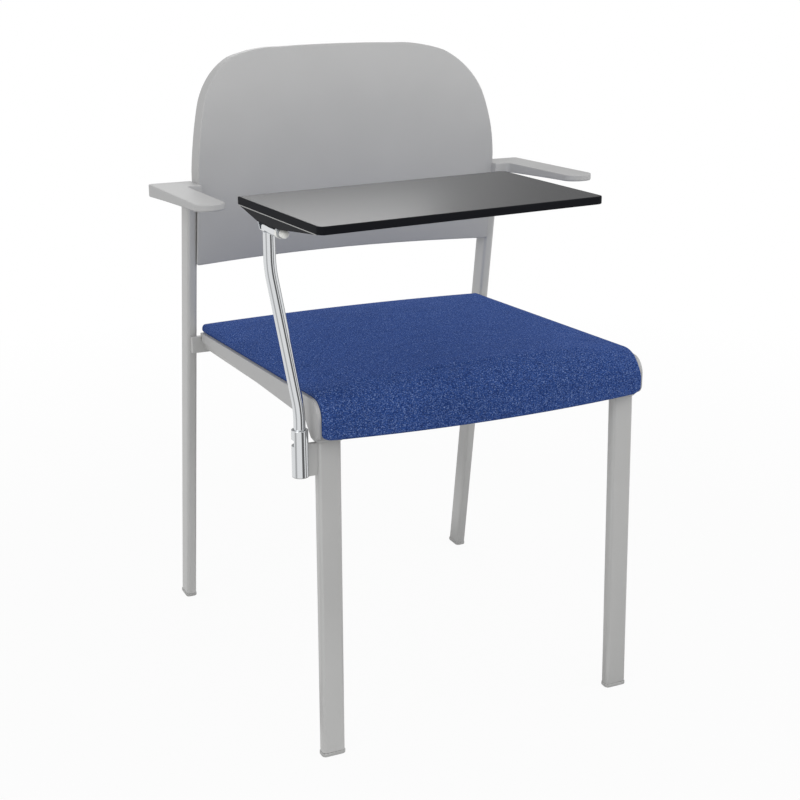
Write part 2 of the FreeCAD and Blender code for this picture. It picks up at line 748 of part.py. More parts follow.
def back_screws():
    wall_inner = BACK_HALF_WIDTH - BACK_RIM
    screws = []
    for y, z in BACK_SCREW_PLACES:
        for side in (LEFT, RIGHT):
            base = V(side * wall_inner, y, z)
            screws.append(screw(BACK_SCREW_RADIUS, BACK_SCREW_LENGTH, *BACK_SCREW_HEAD, base, X_AXIS * side))
    return group(screws)


# Arms


def arm_plan():
    """Plan of the left arm: a long pad with round corners and a short limb over the rear leg."""
    def corner(x, y, radius, to_x, to_y):
        """Arc that rounds a square corner; to_x and to_y say which way its two sides run."""
        start = V(x, y + to_y * radius, 0)
        end = V(x + to_x * radius, y, 0)
        share = 1 - math.sqrt(0.5)
        middle = V(x + to_x * radius * share, y + to_y * radius * share, 0)
        return start, middle, end

    rear_outer = corner(-ARM_OUTER_X, ARM_REAR_Y, ARM_REAR_CORNER, 1, -1)
    front_outer = corner(-ARM_OUTER_X, ARM_FRONT_Y, ARM_FRONT_CORNER, 1, 1)
    front_inner = corner(-ARM_INNER_X, ARM_FRONT_Y, ARM_FRONT_CORNER, -1, 1)
    step = corner(-ARM_INNER_X, ARM_STEP_Y, ARM_STEP_CORNER, 1, -1)
    limb_front = V(-ARM_LEG_X, ARM_STEP_Y, 0)
    limb_rear = V(-ARM_LEG_X, ARM_REAR_Y, 0)
    return Part.Wire([
        arc(rear_outer[2], rear_outer[1], rear_outer[0]),
        line(rear_outer[0], front_outer[0]),
        arc(*front_outer),
        line(front_outer[2], front_inner[2]),
        arc(front_inner[2], front_inner[1], front_inner[0]),
        line(front_inner[0], step[0]),
        arc(*step),
        line(step[2], limb_front),
        line(limb_front, limb_rear),
        line(limb_rear, rear_outer[2]),
    ])


def arm_screw_place():
    """Depth and height of the screw that holds the arm to the leg, on the arm's rear face."""
    return ARM_REAR_Y, ARM_REAR_Z - ARM_REAR_DEPTH / 2 - ARM_SCREW_BELOW_MIDDLE


def arm():
    """Left arm: the plan, thinning towards the front, with soft edges and a pocket for the leg."""
    base = ARM_REAR_Z - ARM_BLANK_HALF
    plan = arm_plan()
    plan.translate(V(0, 0, base))
    block = prism(plan, V(0, 0, 2 * ARM_BLANK_HALF))
    side_x = -ARM_OUTER_X - ARM_MARGIN
    front = ARM_FRONT_Y - ARM_MARGIN
    rear = ARM_REAR_Y + ARM_MARGIN
    span = rear - front
    belly = V(side_x, front + span * ARM_BELLY_SHARE, ARM_REAR_Z - ARM_REAR_DEPTH + ARM_BELLY_RISE)
    side = Part.Wire([
        line(V(side_x, rear, ARM_REAR_Z), V(side_x, front, ARM_FRONT_Z)),
        line(V(side_x, front, ARM_FRONT_Z), V(side_x, front, ARM_FRONT_Z - ARM_FRONT_DEPTH)),
        arc(
            V(side_x, front, ARM_FRONT_Z - ARM_FRONT_DEPTH),
            belly,
            V(side_x, rear, ARM_REAR_Z - ARM_REAR_DEPTH),
        ),
        line(V(side_x, rear, ARM_REAR_Z - ARM_REAR_DEPTH), V(side_x, rear, ARM_REAR_Z)),
    ])
    body = block.common(prism(side, V(CUT_REACH, 0, 0)))
    body = body.makeChamfer(ARM_EDGE, [e for e in body.Edges if is_arm_rim(e)])
    body = body.cut(rear_leg(grow=ARM_LEG_GAP, solid=True))
    y, z = arm_screw_place()
    return body.cut(drill(ARM_SCREW_RADIUS, V(-REAR_LEG_X, y, z), Y_AXIS, TUBE_NARROW))


def arm_top_z(y):
    """Height of the arm's top face."""
    front = ARM_FRONT_Y - ARM_MARGIN
    rear = ARM_REAR_Y + ARM_MARGIN
    return ARM_FRONT_Z + (ARM_REAR_Z - ARM_FRONT_Z) * (y - front) / (rear - front)


def is_arm_rim(edge):
    """True for an edge that lies in the arm's top face, apart from the one against the back."""
    on_top = all(abs(v.Z - arm_top_z(v.Y)) < 0.05 for v in edge.Vertexes)
    against_back = all(abs(v.X + ARM_LEG_X) < 0.05 for v in edge.Vertexes)
    return on_top and not against_back


def arm_screws():
    y, z = arm_screw_place()
    screws = []
    for side in (LEFT, RIGHT):
        base = V(side * REAR_LEG_X, y, z)
        screws.append(screw(ARM_SCREW_RADIUS, ARM_SCREW_LENGTH, *ARM_SCREW_HEAD, base, V(0, -1, 0)))
    return group(screws)


# Swivel socket


def socket():
    """Chromed socket tube with the slot in which the stop pin travels."""
    height = SOCKET_TOP_Z - SOCKET_BOTTOM_Z
    base = V(SOCKET_X, SOCKET_Y, SOCKET_BOTTOM_Z)
    body = rod(SOCKET_RADIUS, height, base, Z_AXIS)
    body = body.cut(rod(STEM_RADIUS + RUNNING_GAP, height, base, Z_AXIS))
    sector = Part.makeCylinder(
        SOCKET_RADIUS + 2, SLOT_HIGH_Z - SLOT_LOW_Z, V(0, 0, SLOT_LOW_Z), Z_AXIS, SLOT_TO_DEG - SLOT_FROM_DEG
    )
    sector.rotate(V(0, 0, 0), Z_AXIS, SLOT_FROM_DEG + REST_SWIVEL_DEG)
    sector.translate(V(SOCKET_X, SOCKET_Y, 0))
    return body.cut(sector)


def socket_plate():
    """Plate welded between the front leg's side and the socket."""
    length = -KNEE_X - SOCKET_X
    plate = Part.makeBox(
        length,
        SOCKET_PLATE_THICK,
        SOCKET_PLATE_TOP_Z - SOCKET_PLATE_LOW_Z,
        V(SOCKET_X, SOCKET_PLATE_Y, SOCKET_PLATE_LOW_Z),
    )
    around = drill(SOCKET_RADIUS, V(SOCKET_X, SOCKET_Y, SOCKET_BOTTOM_Z), Z_AXIS)
    return plate.cut(around).cut(front_leg(solid=True))


def socket_plug():
    """Plastic plug that closes the socket from below and carries the stem."""
    below = V(SOCKET_X, SOCKET_Y, SOCKET_BOTTOM_Z - SOCKET_PLUG_FLANGE)
    flange = rod(SOCKET_RADIUS, SOCKET_PLUG_FLANGE, below, Z_AXIS)
    core_height = SOCKET_PLUG_TOP_Z - SOCKET_BOTTOM_Z
    core = rod(STEM_RADIUS, core_height, V(SOCKET_X, SOCKET_Y, SOCKET_BOTTOM_Z), Z_AXIS)
    return flange.fuse(core).removeSplitter()


# Stem and hinge barrel, drawn with the tablet square to the chair


def swivelled(shape):
    """Turns a piece of the tablet arm from square to the chair to its place at rest."""
    turned = shape.copy()
    turned.rotate(V(SOCKET_X, SOCKET_Y, 0), Z_AXIS, REST_SWIVEL_DEG)
    return turned


def stop_pin():
    """Pin through the stem's wall whose end runs in the socket's slot."""
    turn = math.radians(STOP_PIN_DEG)
    outward = V(math.cos(turn), math.sin(turn), 0)
    inner = STEM_RADIUS - STEM_WALL
    length = SOCKET_RADIUS + STOP_PIN_PROUD - inner
    return rod(STOP_PIN_RADIUS, length, V(SOCKET_X, SOCKET_Y, STOP_PIN_Z) + outward * inner, outward)


def stem():
    """Bent chromed tube, coped at its top to the hinge barrel."""
    path = bent_path(
        [
            V(SOCKET_X, SOCKET_Y, STEM_LOW_Z),
            V(SOCKET_X, SOCKET_Y, STEM_BEND_LOW_Z),
            V(HINGE_X, SOCKET_Y, STEM_BEND_HIGH_Z),
            V(HINGE_X, SOCKET_Y, STEM_TOP_Z),
        ],
        STEM_BEND_RADIUS,
    )
    start = V(SOCKET_X, SOCKET_Y, STEM_LOW_Z)
    outside = Part.Wire(Part.makeCircle(STEM_RADIUS, start, Z_AXIS))
    inside = Part.Wire(Part.makeCircle(STEM_RADIUS - STEM_WALL, start, Z_AXIS))
    tube = swept(path, outside).cut(swept(path, inside))
    tube = tube.cut(drill(BARREL_RADIUS, V(HINGE_X, SOCKET_Y, HINGE_Z), Y_AXIS))
    return tube.cut(stop_pin())


def stem_foot():
    """Plastic thrust foot in the stem's lower end."""
    base = V(SOCKET_X, SOCKET_Y, STEM_LOW_Z - STEM_FOOT_FLANGE)
    flange = rod(STEM_RADIUS - 2 * RUNNING_GAP, STEM_FOOT_FLANGE, base, Z_AXIS)
    core = rod(STEM_RADIUS - STEM_WALL, STEM_FOOT_CORE, V(SOCKET_X, SOCKET_Y, STEM_LOW_Z), Z_AXIS)
    return flange.fuse(core).removeSplitter()


def ring_sector(from_deg, span_deg, y, length):
    """Part of a ring about the hinge axis; angles turn from +X towards +Z."""
    ring = Part.makeCylinder(BARREL_RADIUS, length, V(0, 0, 0), Z_AXIS, span_deg)
    ring = ring.cut(rod(PIN_RADIUS + RUNNING_GAP, length, V(0, 0, 0), Z_AXIS))
    ring.rotate(V(0, 0, 0), Z_AXIS, from_deg)
    ring.rotate(V(0, 0, 0), X_AXIS, 90)
    ring.translate(V(HINGE_X, y + length, HINGE_Z))
    return ring


def hinge_barrel():
    """Barrel across the stem's top, with a stop dog on its rear end."""
    base = V(HINGE_X, BARREL_FRONT_Y, HINGE_Z)
    length = BARREL_FRONT + BARREL_REAR
    body = rod(BARREL_RADIUS, length, base, Y_AXIS)
    body = body.cut(rod(PIN_RADIUS + RUNNING_GAP, length, base, Y_AXIS))
    dog = ring_sector(BARREL_DOG_FROM_DEG, BARREL_DOG_SPAN_DEG, BARREL_REAR_Y, DOG_LENGTH)
    return body.fuse(dog).removeSplitter()


# Tablet and its hinge


def ear(y):
    """Ear of the bracket: wide at the plate, round about the pin."""
    plate_z = BOARD_BOTTOM_Z - BRACKET_PLATE / 2
    left = BOARD_LEFT_X + BRACKET_PLATE_FROM
    right = BOARD_LEFT_X + EAR_TOP_TO
    web = polygon([
        V(HINGE_X - EAR_RADIUS, y, HINGE_Z),
        V(HINGE_X + EAR_RADIUS, y, HINGE_Z),
        V(right, y, plate_z),
        V(left, y, plate_z),
    ])
    body = prism(web, V(0, EAR_THICK, 0))
    body = body.fuse(rod(EAR_RADIUS, EAR_THICK, V(HINGE_X, y, HINGE_Z), Y_AXIS))
    return body.cut(rod(PIN_RADIUS, EAR_THICK, V(HINGE_X, y, HINGE_Z), Y_AXIS))


def hinge_bracket():
    """Steel bracket under the board: plate, two ears, and the dog that meets the barrel's."""
    front = FRONT_EAR_Y - BRACKET_AHEAD
    depth = REAR_EAR_Y + EAR_THICK - front
    plate = Part.makeBox(
        BRACKET_PLATE_TO - BRACKET_PLATE_FROM,
        depth,
        BRACKET_PLATE,
        V(BOARD_LEFT_X + BRACKET_PLATE_FROM, front, BOARD_BOTTOM_Z - BRACKET_PLATE),
    )
    free = 360 - BARREL_DOG_SPAN_DEG - TILT_TRAVEL_DEG - 2 * DOG_GAP_DEG
    start = BARREL_DOG_FROM_DEG + BARREL_DOG_SPAN_DEG + DOG_GAP_DEG
    dog = ring_sector(start, free, REAR_EAR_Y - DOG_LENGTH, DOG_LENGTH)
    body = plate.fuse([ear(FRONT_EAR_Y), ear(REAR_EAR_Y), dog]).removeSplitter()
    for x, y in board_screw_places():
        body = body.cut(drill(BOARD_SCREW_RADIUS, V(x, y, BOARD_BOTTOM_Z), Z_AXIS, 2 * BRACKET_PLATE))
    return body


def board_screw_places():
    """Screws through the bracket's plate, between its ears."""
    left, right = (BOARD_LEFT_X + x for x in BOARD_SCREW_XS)
    front = FRONT_EAR_Y + EAR_THICK + BOARD_SCREW_FROM_EAR
    rear = REAR_EAR_Y - BOARD_SCREW_FROM_EAR
    return [(left, front), (right, front), (right, rear), (left, rear)]


def board_screws():
    screws = []
    for x, y in board_screw_places():
        under = V(x, y, BOARD_BOTTOM_Z - BRACKET_PLATE)
        length = BRACKET_PLATE + BOARD_SCREW_DEPTH
        screws.append(screw(BOARD_SCREW_RADIUS, length, *BOARD_SCREW_HEAD, under, Z_AXIS))
    return group(screws)


def tilt_pin():
    """Pin through both ears and the barrel, long enough to take the end caps."""
    first = FRONT_EAR_Y - CAP_BORE
    last = REAR_EAR_Y + EAR_THICK + REAR_CAP_BORE
    return rod(PIN_RADIUS, last - first, V(HINGE_X, first, HINGE_Z), Y_AXIS)


def pin_cap(y, direction, bore, side, dome):
    """White domed cap pressed on one end of the pin, from its bore, straight side and height of dome."""
    base = V(HINGE_X, y, HINGE_Z)
    dome_radius = (CAP_RADIUS ** 2 + dome ** 2) / (2 * dome)
    hub = side + dome - dome_radius
    half_way = (math.asin((side - hub) / dome_radius) + math.pi / 2) / 2
    outline = Part.Wire([
        line(V(PIN_RADIUS, 0, 0), V(CAP_RADIUS, 0, 0)),
        line(V(CAP_RADIUS, 0, 0), V(CAP_RADIUS, 0, side)),
        arc(
            V(CAP_RADIUS, 0, side),
            V(dome_radius * math.cos(half_way), 0, hub + dome_radius * math.sin(half_way)),
            V(0, 0, side + dome),
        ),
        line(V(0, 0, side + dome), V(0, 0, bore)),
        line(V(0, 0, bore), V(PIN_RADIUS, 0, bore)),
        line(V(PIN_RADIUS, 0, bore), V(PIN_RADIUS, 0, 0)),
    ])
    cap = Part.Face(outline).revolve(V(0, 0, 0), Z_AXIS, 360)
    cap.rotate(V(0, 0, 0), X_AXIS, 90 if direction < 0 else -90)
    cap.translate(base)
    return cap


def washer():
    """White plastic washer between the barrel and the front ear."""
    base = V(HINGE_X, BARREL_FRONT_Y - WASHER_THICK - EAR_GAP, HINGE_Z)
    ring = rod(BARREL_RADIUS + WASHER_LIP, WASHER_THICK, base, Y_AXIS)
    return ring.cut(rod(PIN_RADIUS, WASHER_THICK, base, Y_AXIS))


def cover_frustum(inset, drop):
    """Blunt wedge under the board, widest at the board and deepest beside the hinge."""
    top_z = BOARD_BOTTOM_Z
    low_z = BOARD_BOTTOM_Z - drop

    def level(z, left, right, front, rear):
        return polygon([
            V(BOARD_LEFT_X + left, BOARD_MID_Y + front, z),
            V(BOARD_LEFT_X + right, BOARD_MID_Y + front, z),
            V(BOARD_LEFT_X + right, BOARD_MID_Y + rear, z),
            V(BOARD_LEFT_X + left, BOARD_MID_Y + rear, z),
        ])

    front_draw, rear_draw = COVER_DRAW
    front = COVER_FRONT + front_draw * inset
    rear = COVER_REAR - rear_draw * inset
    top = level(top_z, COVER_TOP_SETBACK + inset, COVER_WIDTH - 2 * inset, front, rear)
    left = COVER_LOW_SETBACK + inset
    low = level(low_z, left, COVER_LOW_WIDTH - inset, COVER_LOW_FRONT + inset, COVER_LOW_REAR - inset)
    return Part.makeLoft([top, low], True, True)


def hinge_cover():
    """Black cover that hides the bracket's plate, slotted for the ears."""
    body = cover_frustum(0, COVER_DROP).cut(cover_frustum(COVER_WALL, COVER_DROP - COVER_WALL))
    for y in (FRONT_EAR_Y, REAR_EAR_Y):
        slot = Part.makeBox(
            COVER_SLOT_TO - COVER_SLOT_FROM,
            EAR_THICK + 2 * COVER_SLOT_SLACK,
            2 * COVER_DROP,
            V(BOARD_LEFT_X + COVER_SLOT_FROM, y - COVER_SLOT_SLACK, BOARD_BOTTOM_Z - 2 * COVER_DROP),
        )
        body = body.cut(slot)
    return max(body.Solids, key=lambda solid: solid.Volume)


def tablet_board():
    """Writing tablet: flat board with round corners and softened edges, drilled for its screws."""
    centre = V(BOARD_LEFT_X + BOARD_LENGTH / 2, BOARD_MID_Y, BOARD_BOTTOM_Z)
    plan = rounded_rectangle(
        centre, X_AXIS, Y_AXIS, BOARD_LENGTH, BOARD_DEPTH, BOARD_CORNER, BOARD_SHARP_CORNER
    )
    body = prism(plan, V(0, 0, BOARD_THICK))
    rims = [e for e in body.Edges if abs(e.Vertexes[0].Z - e.Vertexes[-1].Z) < 0.01]
    body = body.makeChamfer(BOARD_EDGE, rims)
    for x, y in board_screw_places():
        body = body.cut(rod(BOARD_SCREW_RADIUS, BOARD_SCREW_DEPTH, V(x, y, BOARD_BOTTOM_Z), Z_AXIS))
    return body


def build():
    os.makedirs("parts", exist_ok=True)
    leg = front_leg()
    save("front_leg_left", leg)
    save("front_leg_right", mirrored(leg))
    leg = rear_leg()
    save("rear_leg_left", leg)
    save("rear_leg_right", mirrored(leg))
    bracket = rail_bracket()
    save("rail_bracket_left", bracket)
    save("rail_bracket_right", mirrored(bracket))
    for node, y in CROSS_TUBE_YS.items():
        save(node, cross_tube(y))
    lean = (FRONT_FOOT_X - KNEE_X) / KNEE_Z
    foot = glide(-FRONT_FOOT_X, 0, TUBE_WIDE, TUBE_NARROW, lean, KNEE_Y / KNEE_Z)
    save("front_glides", group([foot, mirrored(foot)]))
    foot = glide(-REAR_LEG_X, REAR_FOOT_Y, TUBE_NARROW, TUBE_WIDE, 0, -REAR_RAKE)
    save("rear_glides", group([foot, mirrored(foot)]))
    save("seat_shell", seat_shell())
    save("seat_mounts", seat_mounts())
    save("seat_screws", seat_screws())
    save("seat_pad", seat_pad())
    save("backrest_shell", backrest())
    save("back_screws", back_screws())
    rest = arm()
    save("arm_left", rest)
    save("arm_right", mirrored(rest))
    save("arm_screws", arm_screws())
    save("tablet_socket", socket())
    save("socket_plate", socket_plate())
    save("socket_plug", socket_plug())
    save("tablet_stem", swivelled(stem()))
    save("stem_foot", swivelled(stem_foot()))
    save("swivel_stop_pin", swivelled(stop_pin()))
    save("hinge_barrel", swivelled(hinge_barrel()))
    save("hinge_bracket", swivelled(hinge_bracket()))
    save("tilt_pin", swivelled(tilt_pin()))
    front_cap = pin_cap(FRONT_EAR_Y, -1, CAP_BORE, CAP_STRAIGHT, CAP_DOME)
    rear_cap = pin_cap(REAR_EAR_Y + EAR_THICK, 1, REAR_CAP_BORE, REAR_CAP_STRAIGHT, REAR_CAP_DOME)
    save("pin_caps", swivelled(group([front_cap, rear_cap])))
    save("hinge_washer", swivelled(washer()))
    save("hinge_cover", swivelled(hinge_cover()))
    save("board_screws", swivelled(board_screws()))
    save("tablet_board", swivelled(tablet_board()))


build()
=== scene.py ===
import logging
import math
from dataclasses import dataclass
from enum import Enum

import bmesh
import bpy
import numpy as np
from mathutils import Matrix, Vector


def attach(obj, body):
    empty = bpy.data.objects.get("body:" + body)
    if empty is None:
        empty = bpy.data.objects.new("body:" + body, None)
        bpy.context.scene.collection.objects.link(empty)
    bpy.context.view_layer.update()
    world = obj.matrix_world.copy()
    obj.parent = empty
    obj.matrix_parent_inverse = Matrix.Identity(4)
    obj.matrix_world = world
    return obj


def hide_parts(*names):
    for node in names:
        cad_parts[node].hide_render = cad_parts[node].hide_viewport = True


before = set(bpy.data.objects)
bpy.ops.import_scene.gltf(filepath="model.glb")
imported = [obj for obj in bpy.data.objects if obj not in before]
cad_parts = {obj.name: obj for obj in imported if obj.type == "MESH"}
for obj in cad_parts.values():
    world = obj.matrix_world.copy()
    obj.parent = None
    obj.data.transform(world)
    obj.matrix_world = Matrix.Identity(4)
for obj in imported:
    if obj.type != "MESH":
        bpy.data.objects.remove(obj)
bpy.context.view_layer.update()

LOG = logging.getLogger("tablet_arm_chair")
MM = 0.001
FRAME_SHIFT_Y = 196.77
QUARTER_STEPS = 7
QUARTER = np.linspace(0, math.pi / 2, QUARTER_STEPS)
HARD_ANGLE = math.radians(40)
FLAT_ANGLE = math.radians(0.5)
MERGE_METRES = 1e-6
BEVEL_SEGMENTS = 3
BOX_RUN_STEPS = 3
Pair = tuple[float, float]
Point = tuple[float, float, float]
Shares = tuple[float, ...]
Colour = tuple[float, float, float, float]
Array = np.ndarray
Socket = bpy.types.NodeSocket
Node = bpy.types.Node
Piece = bpy.types.Object
Material = bpy.types.Material
Mesh = bpy.types.Mesh


class Body(Enum):
    """The chair's moving bodies, by their names in the record."""

    CHAIR = "chair"
    ARM = "tablet_arm"
    TABLET = "tablet"


class Slot(Enum):
    """The record's material slots."""

    FRAME = "frame_silver"
    MOULDING = "grey_moulding"
    WEAVE = "blue_weave"
    CHROME = "bright_chrome"
    BOARD = "black_board"
    BLACK_MOULDING = "black_moulding"
    NYLON = "white_nylon"
    SCREWS = "bright_screws"
    GLIDE = "grey_glide"


class Side(Enum):
    """The chair's two sides, by the sign of X."""

    LEFT = -1
    RIGHT = 1

    @property
    def word(self) -> str:
        """The side as the names of pieces and nodes have it."""
        return self.name.lower()


# Materials


def linear(hex_colour: str) -> Colour:
    """Turns an sRGB hex colour into linear RGBA.

    Args:
        hex_colour: Six hex digits after a hash sign.

    Returns:
        Red, green, blue and an alpha of 1.
    """
    channels = [int(hex_colour[k : k + 2], 16) / 255 for k in (1, 3, 5)]
    curve = [c / 12.92 if c <= 0.04045 else ((c + 0.055) / 1.055) ** 2.4 for c in channels]
    return (*curve, 1.0)


def grey(level: float) -> Colour:
    """A linear grey with an alpha of 1."""
    return (level, level, level, 1.0)


class Nodes:
    """A node tree, with short ways to add the nodes that the finishes and the studio use."""

    def __init__(self, tree: bpy.types.NodeTree) -> None:
        """Takes the tree of a material or of the world."""
        self.tree = tree

    def feed(self, node: Node, inputs: dict) -> None:
        """Sets a node's inputs.

        Args:
            node: The node.
            inputs: By an input's name or number, its value or the socket that feeds it.
        """
        for key, value in inputs.items():
            if isinstance(value, Socket):
                self.tree.links.new(value, node.inputs[key])
            else:
                node.inputs[key].default_value = value

    def add(self, kind: str, inputs: dict | None = None, **settings: str) -> Node:
        """Adds one node.

        Args:
            kind: Blender's name of the node type, without its first word.
            inputs: By an input's name or number, its value or the socket that feeds it.
            settings: Attributes of the node, which are set first.

        Returns:
            The new node.
        """
        node = self.tree.nodes.new(f"ShaderNode{kind}")
        for key, value in settings.items():
            setattr(node, key, value)
        self.feed(node, inputs or {})
        return node

    def where(self, kind: str = "Object") -> Socket:
        """Texture coordinates of one kind."""
        return self.add("TexCoord").outputs[kind]

    def noise(self, size_mm: float, detail: float, where: Socket, roughness: float = 0.5) -> Socket:
        """Level of a noise whose waves are size_mm across."""
        inputs = {"Vector": where, "Scale": 1 / (size_mm * MM), "Detail": detail, "Roughness": roughness}
        return self.add("TexNoise", inputs).outputs["Fac"]

    def spread(self, value: Socket, low: float, high: float, first: float = 0, last: float = 1) -> Socket:
        """A value moved evenly from the range first to last into the range low to high."""
        inputs = {"Value": value, "From Min": first, "From Max": last, "To Min": low, "To Max": high}
        return self.add("MapRange", inputs).outputs["Result"]

    def mix(self, share: Socket, first: Socket | Colour, second: Socket | Colour) -> Socket:
        """Colour that goes from the first to the second with the share; each is a colour or a socket."""
        # The node's colour inputs are numbers 6 and 7, and its colour output is number 2.
        return self.add("Mix", {"Factor": share, 6: first, 7: second}, data_type="RGBA").outputs[2]

    def combine(self, operation: str, first: Socket, second: Socket) -> Socket:
        """Result of a maths operation on two sockets."""
        return self.add("Math", {0: first, 1: second}, operation=operation).outputs["Value"]

    def bump(self, height: Socket, strength: float, metres: float) -> Socket:
        """Normal of a surface raised by a height."""
        inputs = {"Height": height, "Strength": strength, "Distance": metres}
        return self.add("Bump", inputs).outputs["Normal"]


def new_material(name: str, inputs: dict) -> tuple[Material, Nodes, Node]:
    """Makes a node material.

    Args:
        name: The material's name.
        inputs: Values by the names of its main shader's inputs.

    Returns:
        The material, its nodes and its main shader.
    """
    material = bpy.data.materials.new(name)
    material.use_nodes = True
    nodes = Nodes(material.node_tree)
    shader = nodes.tree.nodes["Principled BSDF"]
    nodes.feed(shader, inputs)
    return material, nodes, shader


@dataclass(frozen=True)
class Finish:
    """A surface: a base colour that varies softly, a roughness that varies, and a fine grain.

    The colour and roughness follow a broad noise, and the grain is a fine noise that feeds a bump.
    """

    name: str
    dark: str
    light: str
    roughness: float
    roughness_spread: float
    grain_mm: float
    grain_depth: float
    patch_mm: float = 90.0
    metallic: float = 0.0
    ior: float = 1.5
    coat: float = 0.0
    coat_roughness: float = 0.1
    least_roughness: float = 0.02
    patch_detail: float = 4.0
    grain_detail: float = 2.0
    grain_metres: float = 0.0004

    def make(self) -> Material:
        """Builds the material.

        Returns:
            A new node material.
        """
        look = {
            "Metallic": self.metallic,
            "IOR": self.ior,
            "Coat Weight": self.coat,
            "Coat Roughness": self.coat_roughness,
        }
        material, nodes, shader = new_material(self.name, look)
        where = nodes.where()
        patches = nodes.noise(self.patch_mm, self.patch_detail, where)
        grain = nodes.noise(self.grain_mm, self.grain_detail, where)
        smooth = max(self.roughness - self.roughness_spread, self.least_roughness)
        dull = self.roughness + self.roughness_spread
        varied = {
            "Base Color": nodes.mix(patches, linear(self.dark), linear(self.light)),
            "Roughness": nodes.spread(patches, smooth, dull),
            "Normal": nodes.bump(grain, self.grain_depth, self.grain_metres),
        }
        nodes.feed(shader, varied)
        return material


@dataclass(frozen=True)
class Weave:
    """Crepe-woven wool blend: short raised yarns with light flecks over a deeper blue ground.

    Stretched cell noise gives the yarn ends, a finer one the flecks, and both feed colour and bump.
    """

    name: str = "wool_blend_crepe_weave"
    ground: str = "#1A2F62"
    yarn: str = "#344F8B"
    fleck: str = "#8398C6"
    sheen: str = "#5A84EE"
    sheen_weight: float = 0.16
    sheen_roughness: float = 0.5
    roughness: float = 0.92
    specular: float = 0.06
    yarn_mm: float = 1.7
    yarn_stretch: Point = (0.75, 1.0, 1.0)
    yarn_randomness: float = 0.85
    yarn_reach: Pair = (0.15, 0.75)
    fleck_mm: float = 1.2
    fleck_roughness: float = 0.6
    fleck_reach: Pair = (0.54, 0.70)
    most_fleck: float = 0.85
    patch_mm: float = 60.0
    patch_level: Pair = (0.86, 1.14)
    detail: float = 3.0
    bump: float = 0.4
    bump_metres: float = 0.001

    def make(self) -> Material:
        """Builds the material.

        Returns:
            A new node material.
        """
        look = {
            "Roughness": self.roughness,
            "Specular IOR Level": self.specular,
            "Sheen Weight": self.sheen_weight,
            "Sheen Roughness": self.sheen_roughness,
            "Sheen Tint": linear(self.sheen),
        }
        material, nodes, shader = new_material(self.name, look)
        where = nodes.where()
        stretched = nodes.add("Mapping", {"Vector": where, "Scale": self.yarn_stretch}).outputs["Vector"]
        cells = {"Vector": stretched, "Scale": 1 / (self.yarn_mm * MM), "Randomness": self.yarn_randomness}
        yarns = nodes.add("TexVoronoi", cells, feature="F1").outputs["Distance"]
        flecks = nodes.noise(self.fleck_mm, self.detail, stretched, self.fleck_roughness)
        patches = nodes.noise(self.patch_mm, self.detail, where)
        raised = nodes.spread(yarns, 1.0, 0.0, *self.yarn_reach)
        spark = nodes.spread(flecks, 0.0, self.most_fleck, *self.fleck_reach)
        body = nodes.mix(raised, linear(self.ground), linear(self.yarn))
        flecked = nodes.mix(spark, body, linear(self.fleck))
        level = nodes.spread(patches, *self.patch_level)
        shade = nodes.add("HueSaturation", {"Value": level, "Color": flecked}).outputs["Color"]
        height = nodes.combine("ADD", raised, flecks)
        normal = nodes.bump(height, self.bump, self.bump_metres)
        nodes.feed(shader, {"Base Color": shade, "Normal": normal})
        return material


class Finishes:
    """All the chair's materials, made once and found by slot."""

    def __init__(self) -> None:
        """Makes one material for each slot of the record, and the edge band's."""
        looks = {
            # Powder-coated steel: flat silver flake in clear lacquer, a soft sheen and a faint orange peel.
            Slot.FRAME: Finish(
                "silver_powder_coated_steel", "#B0B0AF", "#B8B8B7", 0.42, 0.05, 2.2, 0.06,
                metallic=0.15, coat=0.1,
            ),
            # Moulded polypropylene: an even grey with the fine spark-eroded grain of its mould.
            Slot.MOULDING: Finish("grained_polypropylene", "#A6A6A6", "#ADADAD", 0.5, 0.05, 1.6, 0.10),
            # Wool blend: a matt mottled blue with pale flecks and a soft sheen at its turned edges.
            Slot.WEAVE: Weave(),
            # Chromed steel: mirror bright, with a breath of polishing haze.
            Slot.CHROME: Finish("chromed_steel", "#D2D4D6", "#DADCDE", 0.08, 0.03, 6.0, 0.015, metallic=1.0),
            # High-pressure laminate: black, smooth enough to mirror the room softly.
            Slot.BOARD: Finish(
                "black_pressed_laminate", "#141519", "#191A1F", 0.27, 0.008, 1.4, 0.01, 240.0, ior=1.62
            ),
            # Moulded ABS: black with a fine mould grain that dulls its shine.
            Slot.BLACK_MOULDING: Finish(
                "black_moulded_abs", "#0F1014", "#15161A", 0.62, 0.06, 1.5, 0.12, ior=1.27
            ),
            # Turned nylon: milky white with a waxy shine.
            Slot.NYLON: Finish("white_turned_nylon", "#E2E2DD", "#EDEDE9", 0.34, 0.05, 1.8, 0.05),
            # Zinc-plated steel: bluish bright metal, faintly brushed.
            Slot.SCREWS: Finish(
                "zinc_plated_steel", "#9DA2A8", "#B4B8BC", 0.3, 0.08, 1.2, 0.08, metallic=1.0
            ),
            # Moulded nylon of the glides: the frame's grey, scuffed dull.
            Slot.GLIDE: Finish("grey_moulded_nylon", "#A3A3A2", "#ABABAA", 0.55, 0.08, 1.8, 0.12),
        }
        self.by_slot = {slot: look.make() for slot, look in looks.items()}
        # Extruded PVC edge band: a duller black than the laminate.
        band = Finish("black_extruded_pvc", "#0E0F13", "#131419", 0.6, 0.05, 2.4, 0.05, ior=1.17)
        self.edging = band.make()


# Surfaces


def place(points_mm: Array) -> Array:
    """Moves points from the drawing frame, in mm with the front feet on y = 0, to the part's, in metres."""
    return (points_mm - np.array([0.0, FRAME_SHIFT_Y, 0.0])) * MM


